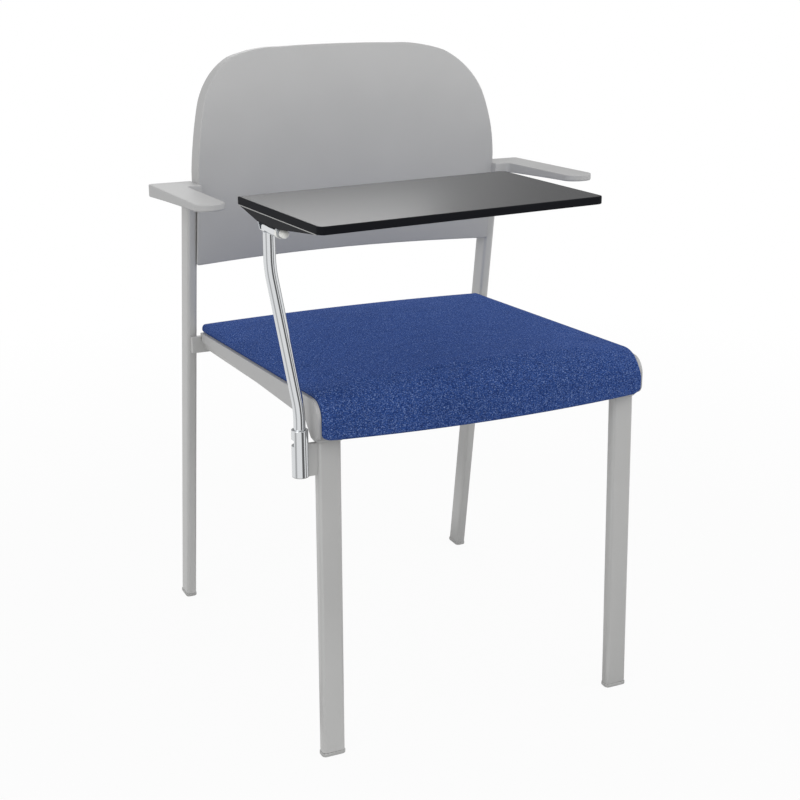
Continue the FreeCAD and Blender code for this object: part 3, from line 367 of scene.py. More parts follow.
def linked(name: str, data: bpy.types.ID) -> Piece:
    """Puts a new object with the given data into the scene.

    Args:
        name: The object's name.
        data: Its mesh, camera or lamp.

    Returns:
        The new object.
    """
    piece = bpy.data.objects.new(name, data)
    bpy.context.scene.collection.objects.link(piece)
    return piece


def grid_piece(name: str, *grids_mm: Array, wrap_rows: bool = False) -> Piece:
    """Makes a mesh of quads on grids of points; rows that shrink to a point become closed poles.

    Args:
        name: The new object's name.
        grids_mm: Points with shape (rows, columns, 3), in the drawing frame. The columns close in a turn.
        wrap_rows: Joins the last row to the first.

    Returns:
        The new object, with outward normals and smooth shading.
    """
    faces = []
    start = 0
    for grid in grids_mm:
        rows, columns = grid.shape[:2]
        i, j = np.meshgrid(np.arange(rows if wrap_rows else rows - 1), np.arange(columns), indexing="ij")
        below = ((i + 1) % rows) * columns
        beside = (j + 1) % columns
        quads = np.stack([i * columns + j, below + j, below + beside, i * columns + beside], axis=-1)
        faces.append(quads.reshape(-1, 4) + start)
        start += rows * columns
    points = np.concatenate([grid.reshape(-1, 3) for grid in grids_mm])
    mesh = bpy.data.meshes.new(name)
    mesh.from_pydata(place(points).tolist(), [], np.concatenate(faces).tolist())
    closed(mesh)
    return linked(name, mesh)


def closed(mesh: Mesh, flat_angle: float | None = None) -> None:
    """Merges a mesh's doubles, turns its faces outwards and shades it smooth up to HARD_ANGLE.

    Args:
        mesh: The mesh to finish.
        flat_angle: Where given, faces that meet at less than this angle, in radians, are joined first.
    """
    work = bmesh.new()
    work.from_mesh(mesh)
    bmesh.ops.remove_doubles(work, verts=work.verts, dist=MERGE_METRES)
    if flat_angle is not None:
        bmesh.ops.dissolve_limit(work, angle_limit=flat_angle, verts=work.verts, edges=work.edges)
    bmesh.ops.recalc_face_normals(work, faces=work.faces)
    work.to_mesh(mesh)
    work.free()
    mesh.shade_smooth()
    mesh.set_sharp_from_angle(angle=HARD_ANGLE)


def vertex_values(mesh: Mesh, name: str) -> Array:
    """Reads the vertices of a mesh.

    Args:
        mesh: The mesh.
        name: What to read, co for places or normal for normals.

    Returns:
        Values with shape (vertices, 3).
    """
    values = np.empty(len(mesh.vertices) * 3, np.float32)
    mesh.vertices.foreach_get(name, values)
    return values.reshape(-1, 3)


def joined(*axes: Array | float) -> Array:
    """Points from their coordinates, which are spread to one shape and stacked."""
    return np.stack(np.broadcast_arrays(*axes), axis=-1)


def unit(vectors: Array) -> Array:
    """Vectors divided by their lengths."""
    return vectors / np.linalg.norm(vectors, axis=-1, keepdims=True)


def arc_through(first: Pair, middle: Pair, last: Pair, steps: int) -> Array:
    """Points along the circle through three plane points.

    The centre is where the two chords' perpendicular bisectors cross, and the angle runs evenly.

    Args:
        first: Start of the arc.
        middle: A point that the arc passes.
        last: End of the arc.
        steps: Number of points.

    Returns:
        Points with shape (steps, 2), from the first to just before the last.
    """
    a, b, c = (np.asarray(p, float) for p in (first, middle, last))
    sides = np.array([b - a, c - a]) * 2
    centre = np.linalg.solve(sides, np.array([b @ b - a @ a, c @ c - a @ a]))
    angles = [math.atan2(*(p - centre)[::-1]) for p in (a, b, c)]
    span = (angles[2] - angles[0]) % math.tau
    if (angles[1] - angles[0]) % math.tau > span:
        span -= math.tau
    turn = angles[0] + span * np.arange(steps) / steps
    return centre + np.linalg.norm(a - centre) * joined(np.cos(turn), np.sin(turn))


def straight(first: Pair, last: Pair, steps: int) -> Array:
    """Even points from the first to just before the last."""
    share = np.arange(steps)[:, None] / steps
    return np.asarray(first, float) * (1 - share) + np.asarray(last, float) * share


def rounded_corners(corners: list[Point], run_steps: int) -> Array:
    """Closed outline through corners (x, y, radius), each turned by a tangent arc.

    Args:
        corners: Corner points in order, with the radius of each.
        run_steps: Points on each straight run.

    Returns:
        Points with shape (count, 2).
    """
    points = np.array([c[:2] for c in corners], float)
    radii = np.array([c[2] for c in corners])
    before = unit(np.roll(points, 1, axis=0) - points)
    after = unit(np.roll(points, -1, axis=0) - points)
    half = np.arccos(np.clip((before * after).sum(axis=1), -1, 1)) / 2
    reach = (radii / np.tan(half))[:, None]
    starts = points + before * reach
    ends = points + after * reach
    tops = points + unit(before + after) * (radii / np.sin(half) - radii)[:, None]
    runs = []
    for k in range(len(corners)):
        runs.append(arc_through(starts[k], tops[k], ends[k], QUARTER_STEPS))
        runs.append(straight(ends[k], starts[(k + 1) % len(corners)], run_steps))
    return np.concatenate(runs)


def rounded_box(half_x: float, half_y: float, radius: float) -> Array:
    """Outline of a rounded rectangle about the origin."""
    signs = ((1, 1), (-1, 1), (-1, -1), (1, -1))
    return rounded_corners([(i * half_x, j * half_y, radius) for i, j in signs], BOX_RUN_STEPS)


def outward(outline: Array) -> Array:
    """Unit normals of a closed plane outline: its tangents turned square, away from its inside.

    Args:
        outline: Points with shape (count, 2).

    Returns:
        Normals with the same shape.
    """
    tangent = unit(np.roll(outline, -1, axis=0) - np.roll(outline, 1, axis=0))
    x, y = outline.T
    area = (x * np.roll(y, -1) - np.roll(x, -1) * y).sum()
    return joined(tangent[:, 1], -tangent[:, 0]) * np.sign(area)


def rings(outline: Array, insets: Array) -> Array:
    """Copies of an outline, each moved inwards along its normals by one inset."""
    return outline[None] - np.asarray(insets)[:, None, None] * outward(outline)[None]


def edge_round(radius: float) -> tuple[Array, Array]:
    """Inset and drop along a quarter round: the inset falls from radius to 0 as the drop grows to radius."""
    return radius * (1 - np.sin(QUARTER)), radius * (1 - np.cos(QUARTER))


def filled(ring: Array, centre: Pair, shares: Array) -> Array:
    """Copies of a ring drawn in towards a centre: each is centre + share * (ring - centre)."""
    middle = np.asarray(centre, float)
    return middle + shares[:, None, None] * (ring - middle)[None]


def carried(profile: Array, path: Array, across: Point) -> Array:
    """A closed plane profile carried along a path.

    At each path point the profile's first axis is the across vector made square to the path, and its second
    is the path's tangent crossed with it.

    Args:
        profile: Points with shape (count, 2).
        path: Points with shape (steps, 3).
        across: Rough direction of the profile's first axis.

    Returns:
        Points with shape (steps, count, 3).
    """
    tangent = unit(np.gradient(path, axis=0))
    first = unit(np.array(across) - (tangent @ np.array(across))[:, None] * tangent)
    second = np.cross(tangent, first)
    return path[:, None] + profile[None, :, :1] * first[:, None] + profile[None, :, 1:] * second[:, None]


def bent_line(points: list[Point], radius: float, arc_steps: int) -> Array:
    """Path of straight runs joined by tangent arcs of one radius.

    Args:
        points: The path's ends and, between them, the corners that the arcs cut.
        radius: Radius of the arcs.
        arc_steps: Points on each arc.

    Returns:
        Points with shape (count, 3).
    """
    corners = np.array(points, float)
    pieces = [corners[:1]]
    for k in range(1, len(corners) - 1):
        back = unit(corners[k - 1] - corners[k])
        ahead = unit(corners[k + 1] - corners[k])
        half = math.acos(float(np.clip(back @ ahead, -1, 1))) / 2
        middle = unit(back + ahead)
        hub = corners[k] + middle * radius / math.sin(half)
        side = unit(np.cross(np.cross(middle, ahead), middle))
        sweep = math.pi / 2 - half
        turn = np.linspace(-sweep, sweep, arc_steps)[:, None]
        pieces.append(hub + radius * (np.sin(turn) * side - np.cos(turn) * middle))
    pieces.append(corners[-1:])
    return np.concatenate(pieces)


def capped(tube: Array) -> Array:
    """A tube's grid with each end drawn in to its own middle, so that it closes."""
    first, last = (np.broadcast_to(row.mean(axis=0), tube[:1].shape) for row in (tube[0], tube[-1]))
    return np.concatenate([first, tube, last])


def circle(radius: float, steps: int = 40) -> Array:
    """Points of a circle about the origin."""
    turn = np.arange(steps) * math.tau / steps
    return radius * joined(np.cos(turn), np.sin(turn))


# Sub-assemblies


@dataclass
class Assembly:
    """A sub-assembly of the chair. Its sizes are in mm in the drawing frame."""

    finishes: Finishes

    def settle(
        self, piece: Piece, slot: Slot, body: Body, *nodes: str, material: Material | None = None
    ) -> None:
        """Finishes a new piece: material, even shading and the body it rides on, and hides the nodes it
        stands for.

        Args:
            piece: The new object.
            slot: The record's slot whose material it takes, where no material is given.
            body: The body that carries it.
            nodes: CAD nodes that it replaces.
            material: Its material, where it isn't its slot's.
        """
        piece.data.materials.append(material or self.finishes.by_slot[slot])
        shading = piece.modifiers.new("even_shading", "WEIGHTED_NORMAL")
        shading.keep_sharp = True
        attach(piece, body.value)
        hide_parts(*nodes)
        LOG.info("built %s in place of %s", piece.name, ", ".join(nodes))

    def soften(self, node: str, radius_mm: float, slot: Slot, body: Body = Body.CHAIR) -> None:
        """Stands in for a node with a copy of its solid whose hard edges are rounded.

        Args:
            node: The node to copy and replace.
            radius_mm: Width of the rounding.
            slot: The record's slot whose material it takes.
            body: The body that carries it.
        """
        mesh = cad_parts[node].data.copy()
        mesh.materials.clear()
        closed(mesh, FLAT_ANGLE)
        piece = linked(f"{node}_soft_edged", mesh)
        bevel = piece.modifiers.new("soft_edges", "BEVEL")
        bevel.width = radius_mm * MM
        bevel.segments = BEVEL_SEGMENTS
        bevel.limit_method = "ANGLE"
        bevel.angle_limit = HARD_ANGLE
        self.settle(piece, slot, body, node)

    def dress(self, slot: Slot, *nodes: str) -> None:
        """Gives CAD nodes their material.

        Args:
            slot: The slot whose material they take.
            nodes: The nodes' names.
        """
        for node in nodes:
            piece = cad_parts[node]
            piece.data.materials.clear()
            piece.data.materials.append(self.finishes.by_slot[slot])
            LOG.info("dressed %s as %s", node, slot.value)


@dataclass
class SteelFrame(Assembly):
    """Flat-sided tube frame: two front legs that bend into the seat rails, and two raked rear legs."""

    wide: float = 30.0
    narrow: float = 15.0
    corner: float = 4.5
    foot_gap: float = 5.0
    foot_x: float = 208.5
    knee: Point = (204.3, 9.6, 445.0)
    knee_radius: float = 30.0
    knee_steps: int = 25
    rail_end_y: float = 438.0
    rail_drop: float = 0.049
    rear_x: float = 234.7
    rear_foot_y: float = 525.0
    rear_rake: float = 0.15
    rear_top_z: float = 651.0
    rear_steps: int = 9
    bracket_x: Pair = (192.0, 237.7)
    bracket_z: Pair = (412.0, 436.0)
    bracket_round: float = 1.2
    bracket_lap: float = 1.0
    bracket_steps: int = 2
    glide_round: float = 0.8

    def front_leg(self, side: Side) -> None:
        """Builds a front leg with its seat rail: a rounded rectangle carried up, round the knee and back.

        Args:
            side: The leg's side.
        """
        x, y, z = self.knee
        share = self.foot_gap / z
        foot = (side.value * (self.foot_x + (x - self.foot_x) * share), y * share, self.foot_gap)
        tail = (side.value * x, self.rail_end_y, z - self.rail_drop * (self.rail_end_y - y))
        path = bent_line([foot, (side.value * x, y, z), tail], self.knee_radius, self.knee_steps)
        profile = rounded_box(self.wide / 2, self.narrow / 2, self.corner)
        leg = grid_piece(f"front_leg_tube_{side.word}", capped(carried(profile, path, (1.0, 0.0, 0.0))))
        self.settle(leg, Slot.FRAME, Body.CHAIR, f"front_leg_{side.word}")

    def rear_leg(self, side: Side) -> None:
        """Builds a rear leg: a level rounded rectangle moved up along the rake.

        Args:
            side: The leg's side.
        """
        x, y = rounded_box(self.narrow / 2, self.wide / 2, self.corner).T
        z = np.linspace(self.foot_gap, self.rear_top_z, self.rear_steps)[:, None]
        grid = joined(side.value * self.rear_x + x, self.rear_foot_y - self.rear_rake * z + y, z)
        leg = grid_piece(f"rear_leg_tube_{side.word}", capped(grid))
        self.settle(leg, Slot.FRAME, Body.CHAIR, f"rear_leg_{side.word}")

    def bracket(self, side: Side) -> None:
        """Builds a rail bracket: a block with rounded edges from the seat rail's end to the rear leg.

        Args:
            side: The bracket's side.
        """
        low, high = self.bracket_z
        leg_y = self.rear_foot_y - self.wide / 2 + self.bracket_lap
        r = self.bracket_round
        corners = [
            (self.rail_end_y, low, r),
            (leg_y - self.rear_rake * low, low, r),
            (leg_y - self.rear_rake * high, high, r),
            (self.rail_end_y, high, r),
        ]
        outline = rounded_corners(corners, self.bracket_steps)
        insets, drops = edge_round(r)
        inner, outer = self.bracket_x
        across = np.concatenate([inner + drops, outer - drops[::-1]])[:, None]
        flat = rings(outline, np.concatenate([insets, insets[::-1]]))
        block = grid_piece(
            f"rail_block_{side.word}", capped(joined(side.value * across, flat[..., 0], flat[..., 1]))
        )
        self.settle(block, Slot.FRAME, Body.CHAIR, f"rail_bracket_{side.word}")

    def build(self) -> None:
        """Builds the four legs, the brackets and the glides, and dresses the cross tubes."""
        for side in Side:
            self.front_leg(side)
            self.rear_leg(side)
            self.bracket(side)
        self.dress(Slot.FRAME, "front_cross_tube", "rear_cross_tube")
        for node in ("front_glides", "rear_glides"):
            self.soften(node, self.glide_round, Slot.GLIDE)


@dataclass
class Seat(Assembly):
    """Moulded seat shell with its upholstered pad."""

    half_width: float = 221.2
    tucked_half_width: float = 219.1
    front_half_width: float = 223.6
    wall_blend: float = 4.0
    widen_y: float = 10.0
    widen_run: float = 20.0
    rear_edge: float = 12.0
    front_edge: float = 7.2
    full: float = 20.5
    crown_fade: float = 130.0
    rear_crown: float = 0.4
    front_y: float = -31.0
    front_bow: float = 18.0
    roll: float = 38.0
    roll_drop: float = 0.86
    low_z: float = 421.5
    lip: float = 4.0
    seam_round: float = 4.5
    rear_round: float = 2.5
    corner_round: float = 12.0
    gap: float = 0.3
    deck_rear_y: float = 440.0
    deck_rear_z: float = 441.0
    deck_rise: float = 0.0625
    nose_y: float = -3.0
    nose_radius: float = 22.0
    wall_forward: float = 7.0
    top_steps: int = 72
    side_steps: int = 6
    deck_steps: int = 82
    roll_steps: int = 16
    front_steps: int = 9
    end_shares: Shares = (1.0, 0.6, 0.25)
    shrink: float = 0.8
    pressure: float = 4.0
    most_swell: float = 2.0
    frames: int = 20
    facing_down: float = -0.3
    facing_back: float = 0.5
    held_height: float = 3.0
    held_behind_nose: float = 15.0
    shell_round: float = 1.4

    def deck_z(self, y: Array) -> Array:
        """Height of the shell's deck at a depth."""
        return self.deck_rear_z + self.deck_rise * (self.deck_rear_y - y)

    def nose_hub(self, forward: float = 0.0) -> Pair:
        """Centre (y, z) of the shell's rounded nose, or of one moved forward along the deck."""
        y = self.nose_y + self.nose_radius - forward
        return y, self.deck_z(y) - self.nose_radius

    def top_z(self, y: Array, share: Array) -> Array:
        """Height of the pad's top.

        It is the deck plus the edge's thickness, which falls evenly from rear to front, and a crown that
        falls with the square of the place across and fades to rear_crown of itself at the rear.

        Args:
            y: Depth.
            share: Square of the place across, as a share of the half width.

        Returns:
            The height at each place.
        """
        ahead = self.deck_rear_y - y
        edge = self.rear_edge + (self.front_edge - self.rear_edge) * ahead / self.deck_rear_y
        fade = np.sin(np.clip(ahead / self.crown_fade, 0, 1) * math.pi / 2)
        fade = self.rear_crown + (1 - self.rear_crown) * fade
        return self.deck_z(y) + self.gap + edge + (self.full - edge) * fade * (1 - share)

    def columns(self) -> tuple[Array, Array, Array]:
        """One turn round the pad's width: over the top, down a side, back below and up the other side.

        Returns:
            Place across, dip of the top towards its sewn edge, and share of the way down the side.
        """
        r, w = self.seam_round, self.half_width
        over = w - r + r * np.sin(QUARTER[1:])
        dip = r * (1 - np.cos(QUARTER[1:]))
        level = np.linspace(-(w - r), w - r, self.top_steps)
        top = np.concatenate([-over[::-1], level, over])
        top_dip = np.concatenate([dip[::-1], np.zeros(len(level)), dip])
        down = np.linspace(0, 1, self.side_steps)[1:-1]
        beside = np.ones(len(down))
        across = np.concatenate([top, w * beside, top[::-1], -w * beside])
        dips = np.concatenate([top_dip, np.full(len(top) + 2 * len(down), r)])
        sunk = np.concatenate([np.zeros(len(top)), down, np.ones(len(top)), 1 - down])
        return across, dips, sunk

    def skins(self, across: Array) -> tuple[Array, Array]:
        """Outer and inner skin of the pad, from its rear edge over the deck, round the nose and down.

        The roll at the front is a quarter ellipse, and the inner skin below it a quarter circle.

        Args:
            across: Place across of each column.

        Returns:
            Two arrays of (y, z) with shape (stations, columns, 2).
        """
        share = (across / self.half_width)[None] ** 2
        front = self.front_y + self.front_bow * share
        beside = np.clip((np.abs(across) - self.half_width) / self.corner_round + 1, 0, 1)
        foot = (self.low_z + self.corner_round * (1 - np.sqrt(1 - beside**2)))[None]
        hub_y, hub_z = self.nose_hub()
        inner_radius = self.nose_radius + self.gap
        nose_end = hub_y - inner_radius
        rear_y = self.deck_rear_y - self.rear_round * (1 - np.cos(QUARTER[:, None]))
        rear_drop = self.rear_round * (1 - np.sin(QUARTER[:, None]))
        start_y = self.deck_rear_y - self.rear_round
        run = np.linspace(0, 1, self.deck_steps)[1:, None]
        deck_y = start_y + run * (hub_y - start_y)
        crest_y = start_y + run * (front + self.roll - start_y)
        turn = np.linspace(0, math.pi / 2, self.roll_steps)[1:, None]
        roll_z = self.top_z(front + self.roll, share)
        roll_end = roll_z - self.roll * self.roll_drop
        fall = np.linspace(0, 1, self.front_steps)[1:, None]
        lip_y = front + self.lip * (1 - np.cos(QUARTER[1:, None]))
        lip_z = foot + self.lip * (1 - np.sin(QUARTER[1:, None]))
        # Each row holds the outer skin's y and z, then the inner skin's.
        parts = [
            (rear_y, self.top_z(rear_y, share) - rear_drop, rear_y, self.deck_z(rear_y) + self.gap),
            (crest_y, self.top_z(crest_y, share), deck_y, self.deck_z(deck_y) + self.gap),
            (
                front + self.roll * (1 - np.sin(turn)),
                roll_z - self.roll * self.roll_drop * (1 - np.cos(turn)),
                hub_y - inner_radius * np.sin(turn),
                hub_z + inner_radius * np.cos(turn),
            ),
            (
                front,
                roll_end + fall * (foot + self.lip - roll_end),
                nose_end,
                hub_z + fall * (foot + self.lip - hub_z),
            ),
            (lip_y, lip_z, nose_end, lip_z),
        ]
        both = np.concatenate([joined(*part, across)[..., :4] for part in parts])
        return both[..., :2], both[..., 2:]

    def room(self, y: Array, z: Array) -> Array:
        """Half width of the pad at a place: tucked between the shell's side walls, wider above and in front.

        The change follows, along an S-curve, the distance outside the wall's profile, which is the nose
        moved forward.

        Args:
            y: Depth.
            z: Height.

        Returns:
            The half width at each place.
        """
        hub_y, hub_z = self.nose_hub(self.wall_forward)
        round_nose = np.hypot(y - hub_y, z - hub_z) - self.nose_radius
        clear = np.where(z < hub_z, hub_y - self.nose_radius - y, round_nose)
        clear = np.where(y > hub_y, z - self.deck_z(y), clear)
        free = np.clip(clear / self.wall_blend, 0, 1)
        free = free * free * (3 - 2 * free)
        ahead = np.clip((self.widen_y - y) / self.widen_run, 0, 1)
        wide = self.half_width + (self.front_half_width - self.half_width) * ahead
        return self.tucked_half_width + (wide - self.tucked_half_width) * free

    def pad(self) -> None:
        """Builds the pad: a closed turn of columns carried from rear to lip, then swelled by cloth pressure.

        Each end is drawn in to its middle line, which closes it.
        """
        across, dips, sunk = self.columns()
        outer, inner = self.skins(across)
        ends = np.array(self.end_shares)
        drawn_in = np.concatenate([ends, np.zeros(len(outer)), ends[::-1]])[:, None]
        order = np.pad(np.arange(len(outer)), len(ends), mode="edge")
        outer, inner = outer[order], inner[order]
        thick = np.linalg.norm(outer - inner, axis=-1)
        share = (1 - dips[None] / thick) * (1 - sunk[None])
        share = 0.5 + (share - 0.5) * (1 - drawn_in)
        side_view = inner + (outer - inner) * share[..., None]
        y, z = side_view[..., 0], side_view[..., 1]
        x = across[None] * self.room(y, z) / self.half_width
        pad = grid_piece("upholstered_pad", joined(x, y, z))
        self.swell(pad)
        pad.data.shade_smooth()
        round_off = pad.modifiers.new("round_off", "SUBSURF")
        round_off.levels = 1
        round_off.render_levels = 1
        pad.data.materials.append(self.finishes.by_slot[Slot.WEAVE])
        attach(pad, Body.CHAIR.value)
        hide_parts("seat_pad")
        LOG.info("built %s in place of seat_pad", pad.name)

    def swell(self, pad: Piece) -> None:
        """Swells the pad by cloth pressure, with its underside, its rear and the rim on the deck held.

        The cloth starts a little smaller, and each point then keeps only the outward part of its move, up to
        most_swell.

        Args:
            pad: The pad, whose mesh is replaced.
        """
        start = vertex_values(pad.data, "co")
        normals = vertex_values(pad.data, "normal")
        y_mm = start[:, 1] / MM + FRAME_SHIFT_Y
        low = start[:, 2] / MM < self.deck_z(y_mm) + self.held_height
        on_deck = low & (y_mm > self.nose_y + self.held_behind_nose)
        turned_away = (normals[:, 2] < self.facing_down) | (normals[:, 1] > self.facing_back)
        held = np.flatnonzero(on_deck | turned_away)
        pad.data.vertices.foreach_set("co", (start - normals * self.shrink * MM).ravel())
        pad.vertex_groups.new(name="held").add(held.tolist(), 1.0, "REPLACE")
        cloth = pad.modifiers.new("swell", "CLOTH").settings
        cloth.use_pressure = True
        cloth.uniform_pressure_force = self.pressure
        cloth.effector_weights.gravity = 0.0
        cloth.vertex_group_mass = "held"
        scene = bpy.context.scene
        for number in range(1, self.frames + 1):
            scene.frame_set(number)
        result = pad.evaluated_get(bpy.context.evaluated_depsgraph_get())
        baked = bpy.data.meshes.new_from_object(result)
        pad.modifiers.clear()
        pad.data = baked
        scene.frame_set(1)
        swelled = ((vertex_values(baked, "co") - start) * normals).sum(axis=1, keepdims=True)
        swelled[held] = 0.0
        LOG.info("the pad's cloth moved out by up to %.2f mm", swelled.max() / MM)
        swelled = np.clip(swelled, 0.0, self.most_swell * MM)
        baked.vertices.foreach_set("co", (start + normals * swelled).ravel())
        baked.update()

    def build(self) -> None:
        """Builds the pad and the shell, and dresses the mounts and screws."""
        self.pad()
        self.soften("seat_shell", self.shell_round, Slot.MOULDING)
        self.dress(Slot.BLACK_MOULDING, "seat_mounts")
        self.dress(Slot.SCREWS, "seat_screws")


@dataclass
class Backrest(Assembly):
    """Moulded back shell: a doubly curved skin with a rounded edge and a deep rim behind it.

    Each side arc is a point that it passes, its end and its steps.
    """

    half_width: float = 227.0
    bottom_z: float = 541.5
    top_z: float = 835.0
    foot_radius: float = 4.0
    foot_steps: int = 14
    foot_arc_steps: int = 6
    shoulder_z: float = 672.0
    side_steps: int = 12
    side_arcs: tuple[tuple[Pair, Pair, int], ...] = (
        ((223.0, 715.0), (214.0, 759.0), 14),
        ((197.0, 793.0), (162.0, 822.0), 16),
        ((128.0, 830.6), (90.0, 833.4), 10),
    )
    crown_steps: int = 12
    skin: float = 5.0
    rim: float = 4.0
    rim_past: float = 1.0
    least_rim: float = 0.6
    sag: float = 30.0
    lumbar_y: float = 407.0
    lumbar_z: float = 705.0
    lumbar_curve: float = 7.06e-4
    head_z: float = 750.0
    head_curve: float = 1.1e-3
    corner_back: float = 16.0
    corner_power: float = 1.5
    side_depth: float = 32.0
    edge_radius: float = 1.8
    lip_radius: float = 1.2
    flare: float = 1.9
    flare_inside: float = 12.0
    flare_run: float = 8.0
    flare_fade: float = 12.0
    flare_back: Pair = (0.3, 0.6)
    leg_top_z: float = 651.0
    centre: Pair = (0.0, 690.0)
    face_steps: int = 26
    face_share: float = 0.985
    wall_shares: Shares = (0.15, 0.5, 0.9)

    def outline(self) -> Array:
        """D-shaped outline in (x, z): straight foot and sides, then the side arcs and one arc over the top.

        Returns:
            Points with shape (count, 2).
        """
        w, low, r = self.half_width, self.bottom_z, self.foot_radius
        near = r * (1 - math.sqrt(0.5))
        point = (w, self.shoulder_z)
        right = [
            straight((0, low), (w - r, low), self.foot_steps),
            arc_through((w - r, low), (w - near, low + near), (w, low + r), self.foot_arc_steps),
            straight((w, low + r), point, self.side_steps),
        ]
        for middle, end, steps in self.side_arcs:
            right.append(arc_through(point, middle, end, steps))
            point = end
        top = (0.0, self.top_z)
        crown = arc_through(point, top, (-point[0], point[1]), 2 * self.crown_steps)
        half = np.concatenate([*right, crown[: self.crown_steps]])
        left = half[:0:-1] * np.array([-1.0, 1.0])
        return np.concatenate([half, np.array([top]), left])

    def front(self, flat: Array) -> Array:
        """Depth of the front face: a parabola in height, a lean at the head, the sag and the bent corners.

        The bend grows with the square of the place across and the 1.5th power of the height above the lumbar
        line, to corner_back at most.

        Args:
            flat: Places (x, z).

        Returns:
            The depth at each place.
        """
        x, z = flat[..., 0], flat[..., 1]
        across = (x / self.half_width) ** 2
        lean = self.head_curve * np.maximum(0, z - self.head_z) ** 2
        edge = self.lumbar_y + self.lumbar_curve * (z - self.lumbar_z) ** 2 + lean
        rise = np.clip((z - self.lumbar_z) / (self.top_z - self.lumbar_z), 0, 1) ** self.corner_power
        return edge + self.sag * (1 - across) + self.corner_back * rise * across

    def rear(self, flat: Array) -> Array:
        """Depth of the rim's rear edge: side_depth behind the face at the sides, just past the skin between.

        Args:
            flat: Places (x, z).

        Returns:
            The depth at each place.
        """
        across = (flat[..., 0] / self.half_width) ** 2
        front = self.front(flat)
        depth = front + self.side_depth * across + (self.skin + self.rim_past) * (1 - across)
        return np.maximum(depth, front + self.skin + self.least_rim)

    def flared(self, flat: Array) -> Array:
        """Moves the face's edge outwards where it lies in front of the legs' rounded corners.

        Args:
            flat: Places (x, z).

        Returns:
            The moved places.
        """
        x, z = flat[..., 0], flat[..., 1]
        beside = np.clip((np.abs(x) - self.half_width + self.flare_inside) / self.flare_run, 0, 1)
        below = np.clip((self.leg_top_z - z) / self.flare_fade, 0, 1)
        return joined(x + np.sign(x) * self.flare * beside * below, z)

    def build(self) -> None:
        """Builds the shell and dresses its screws.

        Rings of the outline run from the middle of the face out to its rounded edge, back along the rim,
        over the rim's rear edge, and in again along the rim's inside and the back of the skin.
        """
        outline = self.outline()
        insets, drops = edge_round(self.edge_radius)
        lip, lip_drops = edge_round(self.lip_radius)
        share = np.array(self.wall_shares)[:, None]
        edge = rings(outline, insets)
        side = rings(outline, np.zeros(len(share)))
        inner = rings(outline, np.full(len(share), self.rim))
        outer_lip = rings(outline, lip[::-1])
        inner_lip = rings(outline, self.rim - lip)
        face = filled(edge[0], self.centre, np.linspace(0.0, self.face_share, self.face_steps))
        back = filled(inner[0], self.centre, np.linspace(self.face_share, 0.0, self.face_steps))
        turned = self.front(side) + self.edge_radius
        side_depth = turned * (1 - share) + (self.rear(side) - lip_drops[-1]) * share
        inner_depth = self.rear(inner) * (1 - share) + (self.front(inner) + self.skin) * share
        flare_end, side_start = self.flare_back
        stations = [
            (face, self.front(face)),
            (self.flared(edge), self.front(edge) + drops[:, None]),
            (self.flared(side[:1]), turned[:1] + flare_end),
            (side[:1], turned[:1] + side_start),
            (side, side_depth),
            (outer_lip, self.rear(outer_lip) - lip_drops[::-1][:, None]),
            (inner_lip, self.rear(inner_lip) - lip_drops[:, None]),
            (inner, inner_depth),
            (inner[:1], self.front(inner[:1]) + self.skin),
            (back, self.front(back) + self.skin),
        ]
        grid = np.concatenate([joined(flat[..., 0], depth, flat[..., 1]) for flat, depth in stations])
        shell = grid_piece("back_shell", grid)
        self.settle(shell, Slot.MOULDING, Body.CHAIR, "backrest_shell")
        self.dress(Slot.SCREWS, "back_screws")


